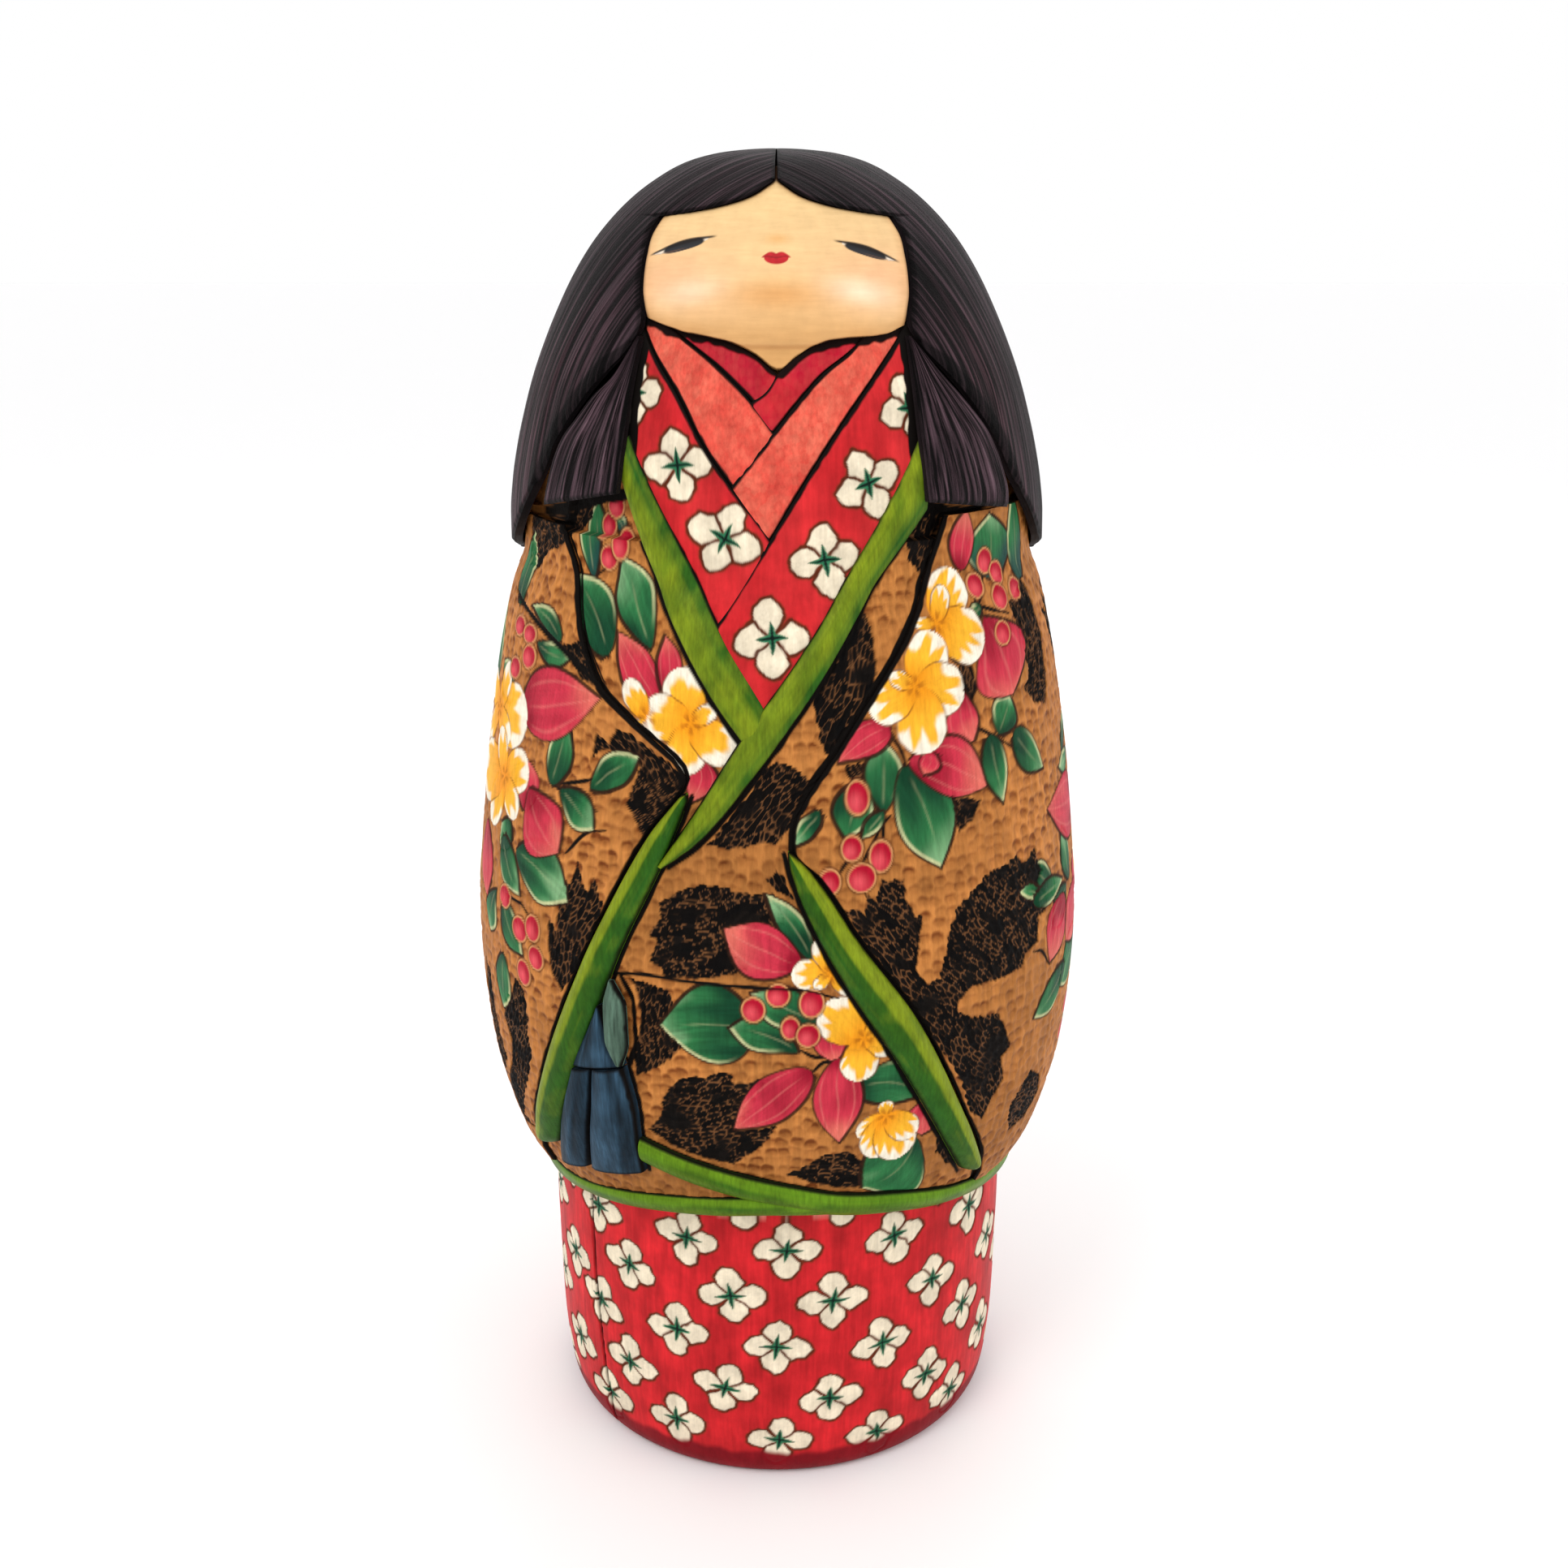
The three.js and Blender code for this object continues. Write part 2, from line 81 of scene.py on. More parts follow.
# ---------------------------------------------------------------- carved lines, as (angle, height)
SLEEVE_L = ((-53, 179), (-46.6, 172), (-39.8, 160), (-34.5, 154), (-27, 149.5), (-16, 141), (-17.4, 138),
            (-22.8, 131.8), (-31.6, 116), (-38.6, 101.6), (-49.2, 80.5), (-57.4, 66), (-59, 57.5))
SLEEVE_R = ((38, 182), (28, 166), (13.5, 149), (3, 132), (3.2, 129.6), (7.6, 125.2), (14.2, 114.8),
            (24.4, 100.4), (36.4, 78.6), (45.4, 64), (47, 57.5))
BEAD_L = (((-16.2, 139.2), (-22.4, 131.6), (-31.2, 115.9), (-38.2, 101.4), (-48.8, 80.3), (-57, 65.4)),
          ((-15.2, 138.2), (-19.4, 127.7), (-26.6, 112.7), (-32.0, 99.6), (-40.4, 81.6), (-48.6, 65.9)))
BEAD_R = (((1.6, 129.4), (3.7, 122.6), (10, 109.6), (21, 91.9), (32.4, 73.4), (39.8, 63.4)),
          ((2.6, 130.4), (7.2, 125), (13.8, 114.6), (24, 100.2), (36, 78.4), (45, 63.8)))
COLLAR_R = (((31.8, 194), (16.6, 175.7), (3.3, 159.7), (-6, 148.3), (-15, 134.8), (-20.6, 126.9)),
            ((32.8, 182.4), (19, 170), (7.0, 155.2), (-3.6, 142), (-13, 131), (-19.2, 126.2)))
COLLAR_L = (((-34.8, 188), (-28.2, 176.4), (-17.9, 161.8), (-10.8, 152.6), (-5.4, 146.4)),
            ((-33.2, 194.6), (-19.2, 176.8), (-8.6, 162.2), (-2.1, 153.3), (-0.6, 150.2)))
OUTER_R = (((34, 212), (23.3, 204.2), (14.6, 196.9), (7.1, 189.1), (-1.2, 178.8), (-11.9, 164.9)),
           ((37, 211), (36, 200), (34, 192), (17.6, 175.7), (4.2, 159.7), (-3.2, 151)))
OUTER_L = (((-40, 212), (-38, 203.6), (-34, 193), (-19.6, 176.4), (-8.8, 161.6), (-2.3, 152.8)),
           ((-36.5, 212.6), (-29.3, 206.5), (-22.7, 201.1), (-15.1, 192.6), (-9.2, 186.8), (-1.2, 178.8), (4, 171)))
MIDDLE_R = (((24, 211.4), (17.5, 207.4), (10.8, 204.3), (4.7, 199.9), (-0.6, 195.3), (-5, 191.1), (-9.3, 187.1)),
            ((35, 212.4), (23.3, 204.2), (14.6, 196.9), (7.1, 189.1), (-1.2, 178.8)))
MIDDLE_L = (((-37, 213), (-29.3, 206.5), (-22.7, 201.1), (-15.1, 192.6), (-9.2, 186.8), (-7.2, 184.8)),
            ((-29, 212), (-23.5, 209.6), (-14.6, 205.7), (-6.7, 200.9), (1, 194)))
INNER_R = (((10, 209.6), (6.6, 207.6), (3.3, 206), (0.4, 204.2), (-2.4, 201.6), (-5.6, 199.9)),
           ((26, 211.6), (17.5, 207.4), (10.8, 204.3), (4.7, 199.9), (-0.6, 195.3)))
INNER_L = (((-30, 212), (-23.5, 209.6), (-14.6, 205.7), (-6.7, 200.9), (-4.2, 199.2)),
           ((-20, 212), (-13.5, 209.6), (-8.2, 208.2), (-3.6, 206.2), (0.9, 203.8)))
LOCK_L = (((-34.2, 209.8), (-38.6, 203.7), (-43.6, 200.4), (-48.3, 196.4), (-52.2, 193), (-54.4, 189), (-56.4, 182)),
          ((-33.2, 209.6), (-33.2, 207), (-33.2, 201.6), (-33, 194), (-33.4, 185.4)))
LOCK_R = (((32.2, 209.8), (31.6, 203), (31.2, 194.2), (31.3, 188), (31.6, 184.2)),
          ((33.2, 209.8), (39.8, 203.9), (46.8, 198.6), (52.2, 193.8), (55.1, 188.4), (56.3, 184.3), (55.6, 181.7)))
KNOT = (((-29.0, 106), (-30.4, 101), (-30.4, 95), (-28.4, 90.4)),
        ((-28.2, 106), (-25.8, 101.6), (-25.6, 95), (-27.0, 90.2)))
CAP = (((-31.6, 100.6), (-35, 94), (-38.6, 87.2)), ((-31.0, 100.8), (-29.6, 94.6), (-27.2, 90)))
TASSEL = (((-38.4, 86.8), (-43, 76), (-48.6, 63.4)), ((-27.3, 89.6), (-25.6, 80), (-25.6, 68.4)))
HEM = ((-180, 48.6), (-120, 48.6), (-90, 49.4), (-65, 51.4), (-47, 54), (-31, 57.2), (-22, 58.8), (-12, 60),
       (0, 61), (12, 60.4), (25, 58.2), (40, 54.8), (53, 52.6), (72, 50.4), (90, 49.4), (120, 48.6), (180, 48.6))
HEM_OVERLAP = ((-25.5, 70.4), (-17, 67.8), (-6, 65), (3, 62.8), (12, 60.4))
TUCK = ((-31, 106.3), (-22, 107.2), (-13, 107.1), (-5, 106.8), (4, 106.4), (10.5, 104.6))
NECK = ((-36, 212.4), (-28.4, 210.9), (-21.9, 209.9), (-16, 209.3), (-11, 208.6), (-5.2, 206.8), (0.7, 204.3),
        (4.2, 205.9), (9, 208), (15, 209), (25.6, 209.4), (34, 211))
FOLD = ((-72, 165.6), (-60, 163), (-50.8, 160.7), (-42.7, 157.9), (-35.4, 154.4), (-30, 151))
SLEEVE_BACK = 128.0
HAIR_THICK = 2.0
OVERLAP = ((0, -47.6), (13, -48.6), (22, -49.6), (33, -50.8), (53, -51.3), (62, -51.3))
HEM_HEIGHT, HEM_LEAST = 5.2, 46.3
SOCKET, SOCKET_TOP = 45.6, 62.35  # the hollow of the coat that takes the skirt

# Painted motifs of each carved zone. Leaves and bracts: base angle, base height, tip angle, tip height, width,
# bend, place of the widest point. Flowers: angle, height, petal tips as (right, up, fullness). Berries: angle,
# height, half width, half height. Burnt patches and lines: points of (angle, height).
MOTIFS = {
    "chest_left": {
        "black": (((-49.5, 172), (-44.5, 167.5), (-40.5, 161), (-36, 156), (-33.5, 154), (-34.5, 152.5), (-39, 154),
            (-43.5, 156.5), (-47, 158), (-48, 159.5), (-42.5, 160), (-45.5, 164.5), (-49, 169.5)),),
        "leaf": ((-41.8, 170.8, -44, 183.7, 5.5, 0.6, 0.55), (-34.2, 159.2, -48, 171, 8.6, -1.7, 0.44), (-24.6, 161.1,
            -34.2, 175.1, 7.6, -0.2, 0.56), (-35.1, 179, -38.1, 181.9, 2.7, 0.2, 0.4)),
        "bract": ((-22.5, 152.3, -32.5, 163.3, 6.8, -0.1, 0.43), (-20.7, 154.4, -21.9, 163.5, 4.5, -0.8, 0.47), (-14.5,
            145.1, -15.4, 137.1, 5.6, 1.7, 0.45)),
        "berry": ((-40, 179.5, 1.5, 1.8), (-37.7, 174.6, 1.8, 1.8), (-34.7, 176.9, 1.6, 2.2), (-38, 182.8, 1.7, 1.8)),
        "flower": ((-15.6, 149.9, ((-2.5, 8.8, 0.85), (-8.9, 1.1, 0.85), (-1.1, -8.2, 0.85), (7.5, -5.1, 0.75), (4.3,
            2.8, 0.6))), (-24.3, 150.3, ((-4.7, 5.5, 0.6), (-2.1, -1.3, 0.4)))),
        "line": (((-55, 179.5), (-50.5, 174.5), (-47, 169.5), (-43, 164.5), (-39, 160), (-34.5, 155)), ((-49, 171),
            (-43, 171), (-38, 173)), ((-34, 174), (-28.5, 171.5))),
    },
    "sleeve_left": {
        "black": (((-67, 184), (-43.5, 186), (-43.5, 181), (-48.5, 178), (-52, 175.5), (-59, 173.5), (-63, 170), (-68.5,
            171), (-70.5, 178)), ((-35, 142.5), (-34.5, 146.5), (-31.5, 145.5), (-30, 148), (-27, 147.5), (-23, 145.5),
            (-17, 142.5), (-13.5, 139.5), (-17, 135.5), (-19.5, 130), (-23, 130.5), (-25, 133.5), (-27, 136), (-26,
            138.5), (-24.5, 143), (-27, 144), (-31.5, 144.5), (-33.5, 144)), ((-43.5, 108.5), (-43.5, 113.5), (-41.5,
            111.5), (-41, 117), (-39.5, 121), (-38.5, 120.5), (-37, 124.5), (-35.5, 121), (-34.5, 120), (-33, 122.5),
            (-32, 119.5), (-31, 118.5), (-32, 113.5), (-35.5, 107), (-40, 101), (-42.5, 103.5)), ((-54.5, 99), (-52,
            97.5), (-50.5, 94.5), (-51.5, 87.5), (-50.5, 85), (-55, 77), (-63.5, 66.5), (-58.5, 66), (-69.5, 62.5),
            (-72, 68.5), (-61.5, 78.5), (-59, 84.5), (-61.5, 88.5), (-59.5, 92.5), (-56, 95.5)), ((-72, 96.5), (-68,
            94.5), (-67.5, 88), (-66.5, 83), (-64, 79), (-72, 69.5), (-74, 75), (-77, 84)), ((-46.5, 159.5), (-41, 161),
            (-39, 158.5), (-34.5, 154), (-39, 155))),
        "leaf": ((-66.9, 163.6, -67.5, 176.6, 7, 1, 0.45), (-77, 144.6, -83.3, 162.5, 7, -1, 0.47), (-46.3, 160.4,
            -59.8, 164.6, 3.7, -1.2, 0.38), (-54.5, 158.9, -42.7, 157.9, 4.1, -0.5, 0.55), (-44.6, 136.3, -41.2, 147.3,
            6.4, 0.2, 0.48), (-34.8, 137.5, -24.8, 144.2, 5.8, 0.4, 0.52), (-42.3, 136.2, -33.5, 130.6, 6.5, 0.4, 0.56),
            (-54.7, 122.7, -38.7, 117.2, 10.9, 1, 0.52), (-56.8, 122.8, -62, 125.8, 7, 0.3, 0.53), (-60.7, 123.5, -52.6,
            114.7, 7, -1, 0.45), (-62.3, 113, -65.9, 103.9, 7, -1, 0.62), (-58.9, 112.5, -51, 104.1, 6.9, -1, 0.47),
            (-58.8, 101.9, -60.6, 90.3, 7, -0.2, 0.49), (-61.9, 147.8, -71, 153.3, 6.8, 0, 0.5)),
        "bract": ((-56.7, 147.9, -34, 152.6, 12.4, -0.1, 0.38), (-52.1, 130.1, -54.7, 139.6, 7.8, -0.9, 0.5), (-51.5,
            134.3, -41.7, 125.1, 12.7, -1.1, 0.57), (-71.8, 123.5, -68.2, 109.7, 10.5, -1, 0.51)),
        "berry": ((-63.9, 160.5, 2.3, 1.5), (-58.2, 159.9, 2.3, 1.4), (-57, 156.2, 2.3, 1.8), (-62.8, 153.3, 2.3, 1.7),
            (-58.3, 113, 2.1, 1.9), (-52.1, 108.8, 2.3, 2.1), (-47.9, 110.2, 2, 2.2), (-46.9, 105, 2, 2), (-50.9, 101,
            2, 2.2)),
        "flower": ((-69.9, 144.7, ((14.3, 0.9, 0.8), (4.1, 8.8, 0.6), (-11.6, 3.6, 0.5), (-8.5, -7.2, 0.5), (8, -4.4,
            0.6))), (-62, 134.2, ((9.4, 3.7, 0.8), (6.2, -6.1, 0.7), (-6.4, -10.1, 0.6), (-18.9, -2.9, 0.6), (-4.8, 7.7,
            0.6)))),
        "line": (((-71, 165.5), (-60, 163), (-51, 160.5), (-42.5, 158), (-35.5, 154.5), (-30, 151)), ((-41, 147.5),
            (-40, 144.5)), ((-42.5, 137), (-36.5, 138.5), (-32, 140)), ((-40, 125.5), (-34, 130.5), (-31, 131)),
            ((-44.5, 136.5), (-40, 135.5), (-33, 134)), ((-59, 113.5), (-52.5, 113.5), (-49, 112))),
    },
    "chest_right": {
        "black": (((34.5, 182.5), (39, 183), (40.5, 180.5), (37.5, 175.5), (34.5, 171.5), (33, 170.5), (31, 173), (28.5,
            175), (28.5, 178.5), (30, 181.5)), ((17.5, 168), (19, 163), (19, 157.5), (17, 153.5), (12, 148), (9.5, 144),
            (8, 147.5), (7.5, 150.5), (6.5, 153), (8, 156.5), (12.5, 162)), ((0, 144.5), (2.5, 143.5), (6, 141.5), (8,
            142), (6, 138.5), (1, 132), (-0.5, 131), (-3, 131), (-8, 130), (-12, 130.5), (-10.5, 132), (-7.5, 136), (-4,
            140), (-2, 143))),
    },
    "sleeve_right": {
        "black": (((63.5, 169), (65.5, 166), (68.5, 158.5), (67, 150), (65, 146.5), (59, 148), (55, 151), (58.5, 153),
            (57.5, 158), (56, 163), (55, 165.5)), ((36.5, 158), (40, 157), (41, 153.5), (39, 151.5), (37, 153.5)),
            ((32.5, 136.5), (39, 135), (37, 132), (33.5, 130.5)), ((12, 143.5), (15.5, 144), (15.5, 139.5), (13,
            140.5)), ((11, 120), (14, 120), (15, 119), (15, 122.5), (17, 121), (18, 124.5), (22, 124), (22.5, 121), (24,
            117.5), (25.5, 117.5), (24.5, 112.5), (24, 108.5), (26, 105.5), (28.5, 106), (29.5, 109.5), (30.5, 113.5),
            (32.5, 117.5), (35.5, 119.5), (40, 122), (44.5, 122.5), (48, 123.5), (49.5, 121.5), (54, 123), (56, 118.5),
            (54.5, 117), (54, 112.5), (57, 111), (54, 110.5), (53.5, 106), (49.5, 105), (48.5, 103), (43.5, 102.5),
            (35.5, 103), (32.5, 101), (32.5, 99), (36, 97), (42, 96), (44.5, 92.5), (46.5, 88), (44, 87), (45.5, 82),
            (43, 79), (41, 75), (37.5, 78), (34.5, 84.5), (31, 90.5), (27, 96), (22, 103), (17.5, 110), (14, 116)),
            ((55, 80), (61, 76.5), (64, 71), (59, 68), (52.5, 68), (49.5, 73.5), (51.5, 76.5))),
        "leaf": ((52, 169.9, 51.9, 180.9, 13.6, -0.1, 0.48), (63.1, 168.5, 62.4, 184.1, 7, -1, 0.42), (18.7, 135.6,
            19.4, 147.3, 6.7, 0.1, 0.55), (23.1, 142.8, 29.4, 125, 11.3, 0.8, 0.5), (45.2, 144.8, 49.9, 150.8, 7.4, 0,
            0.54), (42.5, 145.2, 44.9, 133.2, 6.3, -0.1, 0.41), (49.8, 144.5, 59.9, 136.1, 6.6, -0.7, 0.41), (7.5,
            136.6, 2.2, 130.6, 3.3, 0.1, 0.44), (14.2, 140.4, 11.9, 131.6, 6.9, 0.1, 0.44), (18.7, 135.8, 14.5, 131.7,
            2.8, 0.1, 0.45), (45.1, 166.1, 40.9, 165, 2.6, -0.1, 0.44), (57.2, 113.1, 48.2, 116.6, 2.9, -0.5, 0.61),
            (52.8, 113.5, 66.1, 113.9, 4.7, 0.2, 0.42), (68, 96.6, 53.4, 91, 7, 0.4, 0.48)),
        "bract": ((41.3, 172.3, 43.9, 182.3, 5.9, 0.3, 0.46), (45.1, 164.5, 51, 150.7, 17.1, 1.1, 0.61), (36.5, 153.6,
            38.5, 144.8, 7.2, -1.4, 0.56), (24.1, 143.7, 40.9, 137, 9.8, 1.3, 0.51), (20.6, 149.3, 10.8, 144.2, 5.8,
            -0.6, 0.38), (66.5, 110.9, 58.6, 100.2, 10.5, -0.7, 0.5), (28.8, 144.6, 26.8, 140.9, 4.2, 0.4, 0.47)),
        "berry": ((49.3, 173.2, 1.9, 1.9), (53.1, 170.9, 1.8, 1.7), (44.8, 169.6, 1.9, 1.8), (51.9, 167, 2, 1.9), (58.9,
            167.5, 2, 1.7), (50.3, 161.2, 2, 1.8), (14.1, 138.4, 1.8, 2.5), (12.9, 130.2, 1.6, 1.9), (18, 128.5, 1.8,
            2.4), (14.5, 125.2, 2.2, 2.2), (9, 124.9, 1.6, 1.9)),
        "flower": ((32.4, 164.8, ((6.4, 7.6, 0.85), (9.8, -4.7, 0.85), (-4.4, 0.2, 0.5), (2.7, 5.7, 0.6))), (26, 155.3,
            ((5.5, 7.9, 0.85), (10, -1.8, 0.85), (1.9, -11, 0.85), (-8, -3.7, 0.8), (-4.3, 2.2, 0.6)))),
        "line": (((21, 147.5), (22.5, 145.5), (23.5, 142.5)), ((38.5, 147.5), (43.5, 145), (50, 141.5)), ((33, 161),
            (35.5, 158.5), (37, 157.5)), ((18.5, 131), (18.5, 133.5), (20, 135)), ((14.5, 127.5), (16.5, 130.5), (18,
            133)), ((10.5, 126), (12, 128), (14.5, 129.5)), ((58.5, 100), (54.5, 104), (52, 104.5)), ((44.5, 168),
            (43.5, 167), (47.5, 165.5), (54, 164)), ((48.5, 171.5), (45.5, 167.5), (44, 166)), ((51, 165), (49.5,
            166.5), (52.5, 169.5))),
    },
    "front": {
        "black": (((-16.5, 122.5), (-12.5, 124), (-8, 123.5), (-4, 122.5), (-0.5, 123), (0.5, 120.5), (1.5, 117.5),
            (-2.5, 117.5), (-8, 117), (-9, 116), (-7, 112), (-5, 110), (-8, 109), (-12, 108), (-19, 107.5), (-20, 109),
            (-22, 110), (-20.5, 113.5), (-22.5, 114.5), (-20, 117.5), (-20.5, 120)), ((-26, 106), (-22, 105.5), (-18.5,
            105), (-18, 103), (-20, 98.5), (-16.5, 95), (-18, 93), (-22.5, 89.5), (-25.5, 88), (-26, 92), (-24, 98.5),
            (-24.5, 104)), ((-24, 77.5), (-21.5, 80), (-20.5, 84.5), (-18, 88), (-15.5, 89.5), (-12.5, 89.5), (-10, 91),
            (-7.5, 91), (-8, 89), (-1.5, 90), (-3, 88), (-4.5, 84), (-7, 80), (-2.5, 80), (0, 81), (-1.5, 78), (-4,
            75.5), (-8, 72.5), (-14.5, 73.5), (-19.5, 75)), ((2, 70.5), (5, 72), (9, 74.5), (13.5, 74.5), (16, 72), (17,
            66.5), (13, 66.5), (6.5, 68.5)), ((-1.5, 125), (0, 127), (1, 126), (3, 122), (0.5, 123)), ((31.5, 75.5),
            (35.5, 73), (39.5, 66.5), (35.5, 66.5), (32, 70.5))),
        "leaf": ((6, 111.5, -1.9, 122.8, 4.5, -0.8, 0.49), (-4, 99.6, -20.6, 98.3, 14.6, -0.7, 0.39), (3.8, 95.1, -8.1,
            99.4, 6.9, -1.2, 0.58), (14.4, 87.8, 27.5, 83.7, 8.4, 1.7, 0.4), (26.7, 75.2, 16.4, 66.2, 16, 2.8, 0.51),
            (7.1, 100.3, -4.4, 105.7, 7.4, -0.2, 0.51)),
        "bract": ((4.1, 110.8, -9, 116.7, 9.4, 0.6, 0.5), (8.8, 100.8, 10.6, 92.6, 5.9, -0.4, 0.46), (6.1, 91.4, -7.6,
            79.8, 8.5, -0.2, 0.45), (10.8, 93.5, 11.3, 76.8, 8.9, -0.1, 0.47), (29.3, 83, 27.8, 75.3, 9, -0.4, 0.55)),
        "berry": ((-3.9, 102.8, 1.8, 2), (0.3, 105.5, 1.8, 1.9), (6, 103.9, 1.9, 2.3), (2.4, 99.5, 1.4, 1.8), (5.4,
            98.1, 1.8, 1.9)),
        "flower": ((9.3, 109.1, ((-6.8, 0, 0.8), (-2.7, 5.7, 0.5), (3.6, -3.7, 0.6), (-3, -2.4, 0.6))), (15, 97, ((-7,
            6.5, 0.9), (-0.9, -8.2, 0.85), (5.5, -3.5, 0.6), (3.7, 3.1, 0.6))), (19.9, 81.1, ((0.3, -4.1, 1), (-5.2,
            -3.4, 0.7), (-2, -8.5, 0.8), (4, -9.5, 0.8), (6.3, -5.1, 0.7), (-0.2, 3, 1)))),
        "line": (((6, 91), (8.5, 93), (11, 93)), ((-3.5, 101), (-1, 100.5), (3, 97.5)), ((4, 95.5), (7, 94), (11, 94)),
            ((-5.5, 103), (-7, 100.5)), ((0.5, 103.5), (2.5, 101.5)), ((-30, 106), (-22, 107.5), (-13.5, 107), (-5,
            107), (3.5, 106.5), (10, 104.5))),
    },
}

# ---------------------------------------------------------------- numbers
def curve(points):
    """A smooth function through points of (x, y), with no overshoot."""
    x, y = np.array(sorted(points), float).T
    slope = np.diff(y) / np.diff(x)
    m = np.concatenate([slope[:1], np.zeros(len(x) - 2), slope[-1:]])
    a, b = slope[:-1], slope[1:]
    same = a * b > 0
    m[1:-1][same] = 2 * a[same] * b[same] / (a[same] + b[same])

    def at(q):
        q = np.clip(np.asarray(q, float), x[0], x[-1])
        i = np.clip(np.searchsorted(x, q, side="right") - 1, 0, len(x) - 2)
        h = x[i + 1] - x[i]
        t = (q - x[i]) / h
        low = (1 + 2 * t) * (1 - t) ** 2 * y[i] + t * (1 - t) ** 2 * h * m[i]
        return low + t * t * (3 - 2 * t) * y[i + 1] + t * t * (t - 1) * h * m[i + 1]

    return at


coat_r, hair_r, skirt_r = curve(COAT), curve(HAIR), curve(SKIRT)
face_off, opening_at, hem_foot = curve(FACE), curve(OPENING), curve(HEM)
sleeve_l, sleeve_r = (curve([(z, a) for a, z in line]) for line in (SLEEVE_L, SLEEVE_R))


def smooth(a, b, x):
    """0 before a, 1 after b."""
    t = np.clip((x - a) / (b - a), 0, 1)
    return t * t * (3 - 2 * t)


def blend(first, second, share):
    """Colours part of the way from the first to the second, by a share for each vertex."""
    share = share[:, None]
    return first * (1 - share) + second * share


def arch(t):
    """0 at both ends of 0..1 and 1 in the middle."""
    return np.sin(np.pi * np.clip(t, 0, 1))


def crown(u, power):
    """Flat-topped rise across a strip: 0 at both edges, 1 in the middle."""
    return 1 - np.abs(2 * u - 1) ** power


def wrap(angle):
    return (angle + 180) % 360 - 180


def spread(i, j, seed):
    """A fixed value in 0..1 for each cell of a grid."""
    v = np.sin(i * 127.1 + j * 311.7 + seed * 74.7) * 4375.8545
    return v - np.floor(v)


def noise(x, y, seed=0, around=1e6):
    """Smooth value noise in 0..1, which repeats after `around` cells in x."""
    i, j = np.floor(x), np.floor(y)
    u, v = x - i, y - j
    u, v = u * u * (3 - 2 * u), v * v * (3 - 2 * v)
    i0, i1 = i % around, (i + 1) % around
    low = spread(i0, j, seed) * (1 - u) + spread(i1, j, seed) * u
    high = spread(i0, j + 1, seed) * (1 - u) + spread(i1, j + 1, seed) * u
    return low * (1 - v) + high * v


def cells(x, y, seed=0, around=1e6, jitter=0.7):
    """Distances to the nearest and second nearest jittered grid point, and a value for the nearest one."""
    i, j = np.floor(x), np.floor(y)
    first, second, kind = np.full(x.shape, 9.0), np.full(x.shape, 9.0), np.zeros(x.shape)
    for di in (-1, 0, 1):
        for dj in (-1, 0, 1):
            ci, cj = i + di, j + dj
            px = ci + 0.5 + jitter * (spread(ci % around, cj, seed) - 0.5)
            py = cj + 0.5 + jitter * (spread(ci % around, cj, seed + 5) - 0.5)
            d = np.hypot(x - px, y - py)
            nearer = d < first
            second = np.where(nearer, first, np.minimum(second, d))
            kind = np.where(nearer, spread(ci % around, cj, seed + 9), kind)
            first = np.where(nearer, d, first)
    return first, second, kind


def polygon_distance(x, y, points):
    """Distance to the outline of a polygon, negative inside it."""
    best, inside = np.full(x.shape, 1e9), np.zeros(x.shape, bool)
    for (ax, ay), (bx, by) in zip(points, np.roll(points, -1, axis=0)):
        ex, ey = bx - ax, by - ay
        t = np.clip(((x - ax) * ex + (y - ay) * ey) / (ex * ex + ey * ey + 1e-9), 0, 1)
        best = np.minimum(best, np.hypot(x - ax - t * ex, y - ay - t * ey))
        cross = (ay > y) != (by > y)
        inside ^= cross & (x < ax + (y - ay) * ex / (ey if abs(ey) > 1e-9 else 1e-9))
    return np.where(inside, -best, best)


def line_distance(x, y, points):
    """Distance to an open line, and how far along it the nearest point is, 0..1."""
    best, along = np.full(x.shape, 1e9), np.zeros(x.shape)
    steps = np.hypot(*np.diff(points, axis=0).T)
    start = np.concatenate([[0], np.cumsum(steps)])
    for k, ((ax, ay), (bx, by)) in enumerate(zip(points[:-1], points[1:])):
        ex, ey = bx - ax, by - ay
        t = np.clip(((x - ax) * ex + (y - ay) * ey) / (ex * ex + ey * ey + 1e-9), 0, 1)
        d = np.hypot(x - ax - t * ex, y - ay - t * ey)
        nearer = d < best
        along = np.where(nearer, (start[k] + t * steps[k]) / start[-1], along)
        best = np.minimum(best, d)
    return best, along


def rounded(points, count=40):
    """Evenly spaced points on a smooth line through points of (angle, height)."""
    p = np.array(points, float)
    flat = p * (np.radians(FLAT_RADIUS), 1)
    gone = np.concatenate([[0], np.cumsum(np.hypot(*np.diff(flat, axis=0).T))])
    if len(p) == 2:
        t = np.linspace(0, 1, count)[:, None]
        return p[0] + (p[1] - p[0]) * t
    s = np.linspace(0, gone[-1], count)
    return np.stack([curve(list(zip(gone, p[:, k])))(s) for k in (0, 1)], axis=1)


def rgb(r, g, b):
    """A colour given as it looks, 0..255, in the linear values that shaders use."""
    c = np.array((r, g, b), float) / 255
    return np.where(c <= 0.04045, c / 12.92, ((c + 0.055) / 1.055) ** 2.4)


# ---------------------------------------------------------------- painting and carving
# Near-black of the burnt lines and patches, also used for painted shadows under and beside the side locks.
BURNT_AND_SHADOW = rgb(15, 11, 9)
LINE = rgb(44, 24, 15)
TAN, PIT = rgb(198, 129, 66), rgb(107, 51, 16)
EDGE_SOFT = 0.15  # half the width over which one painted area turns into the next


def within(distance, reach=0.0):
    """1 where a distance is less than reach, with a soft edge."""
    return smooth(reach + EDGE_SOFT, reach - EDGE_SOFT, distance)


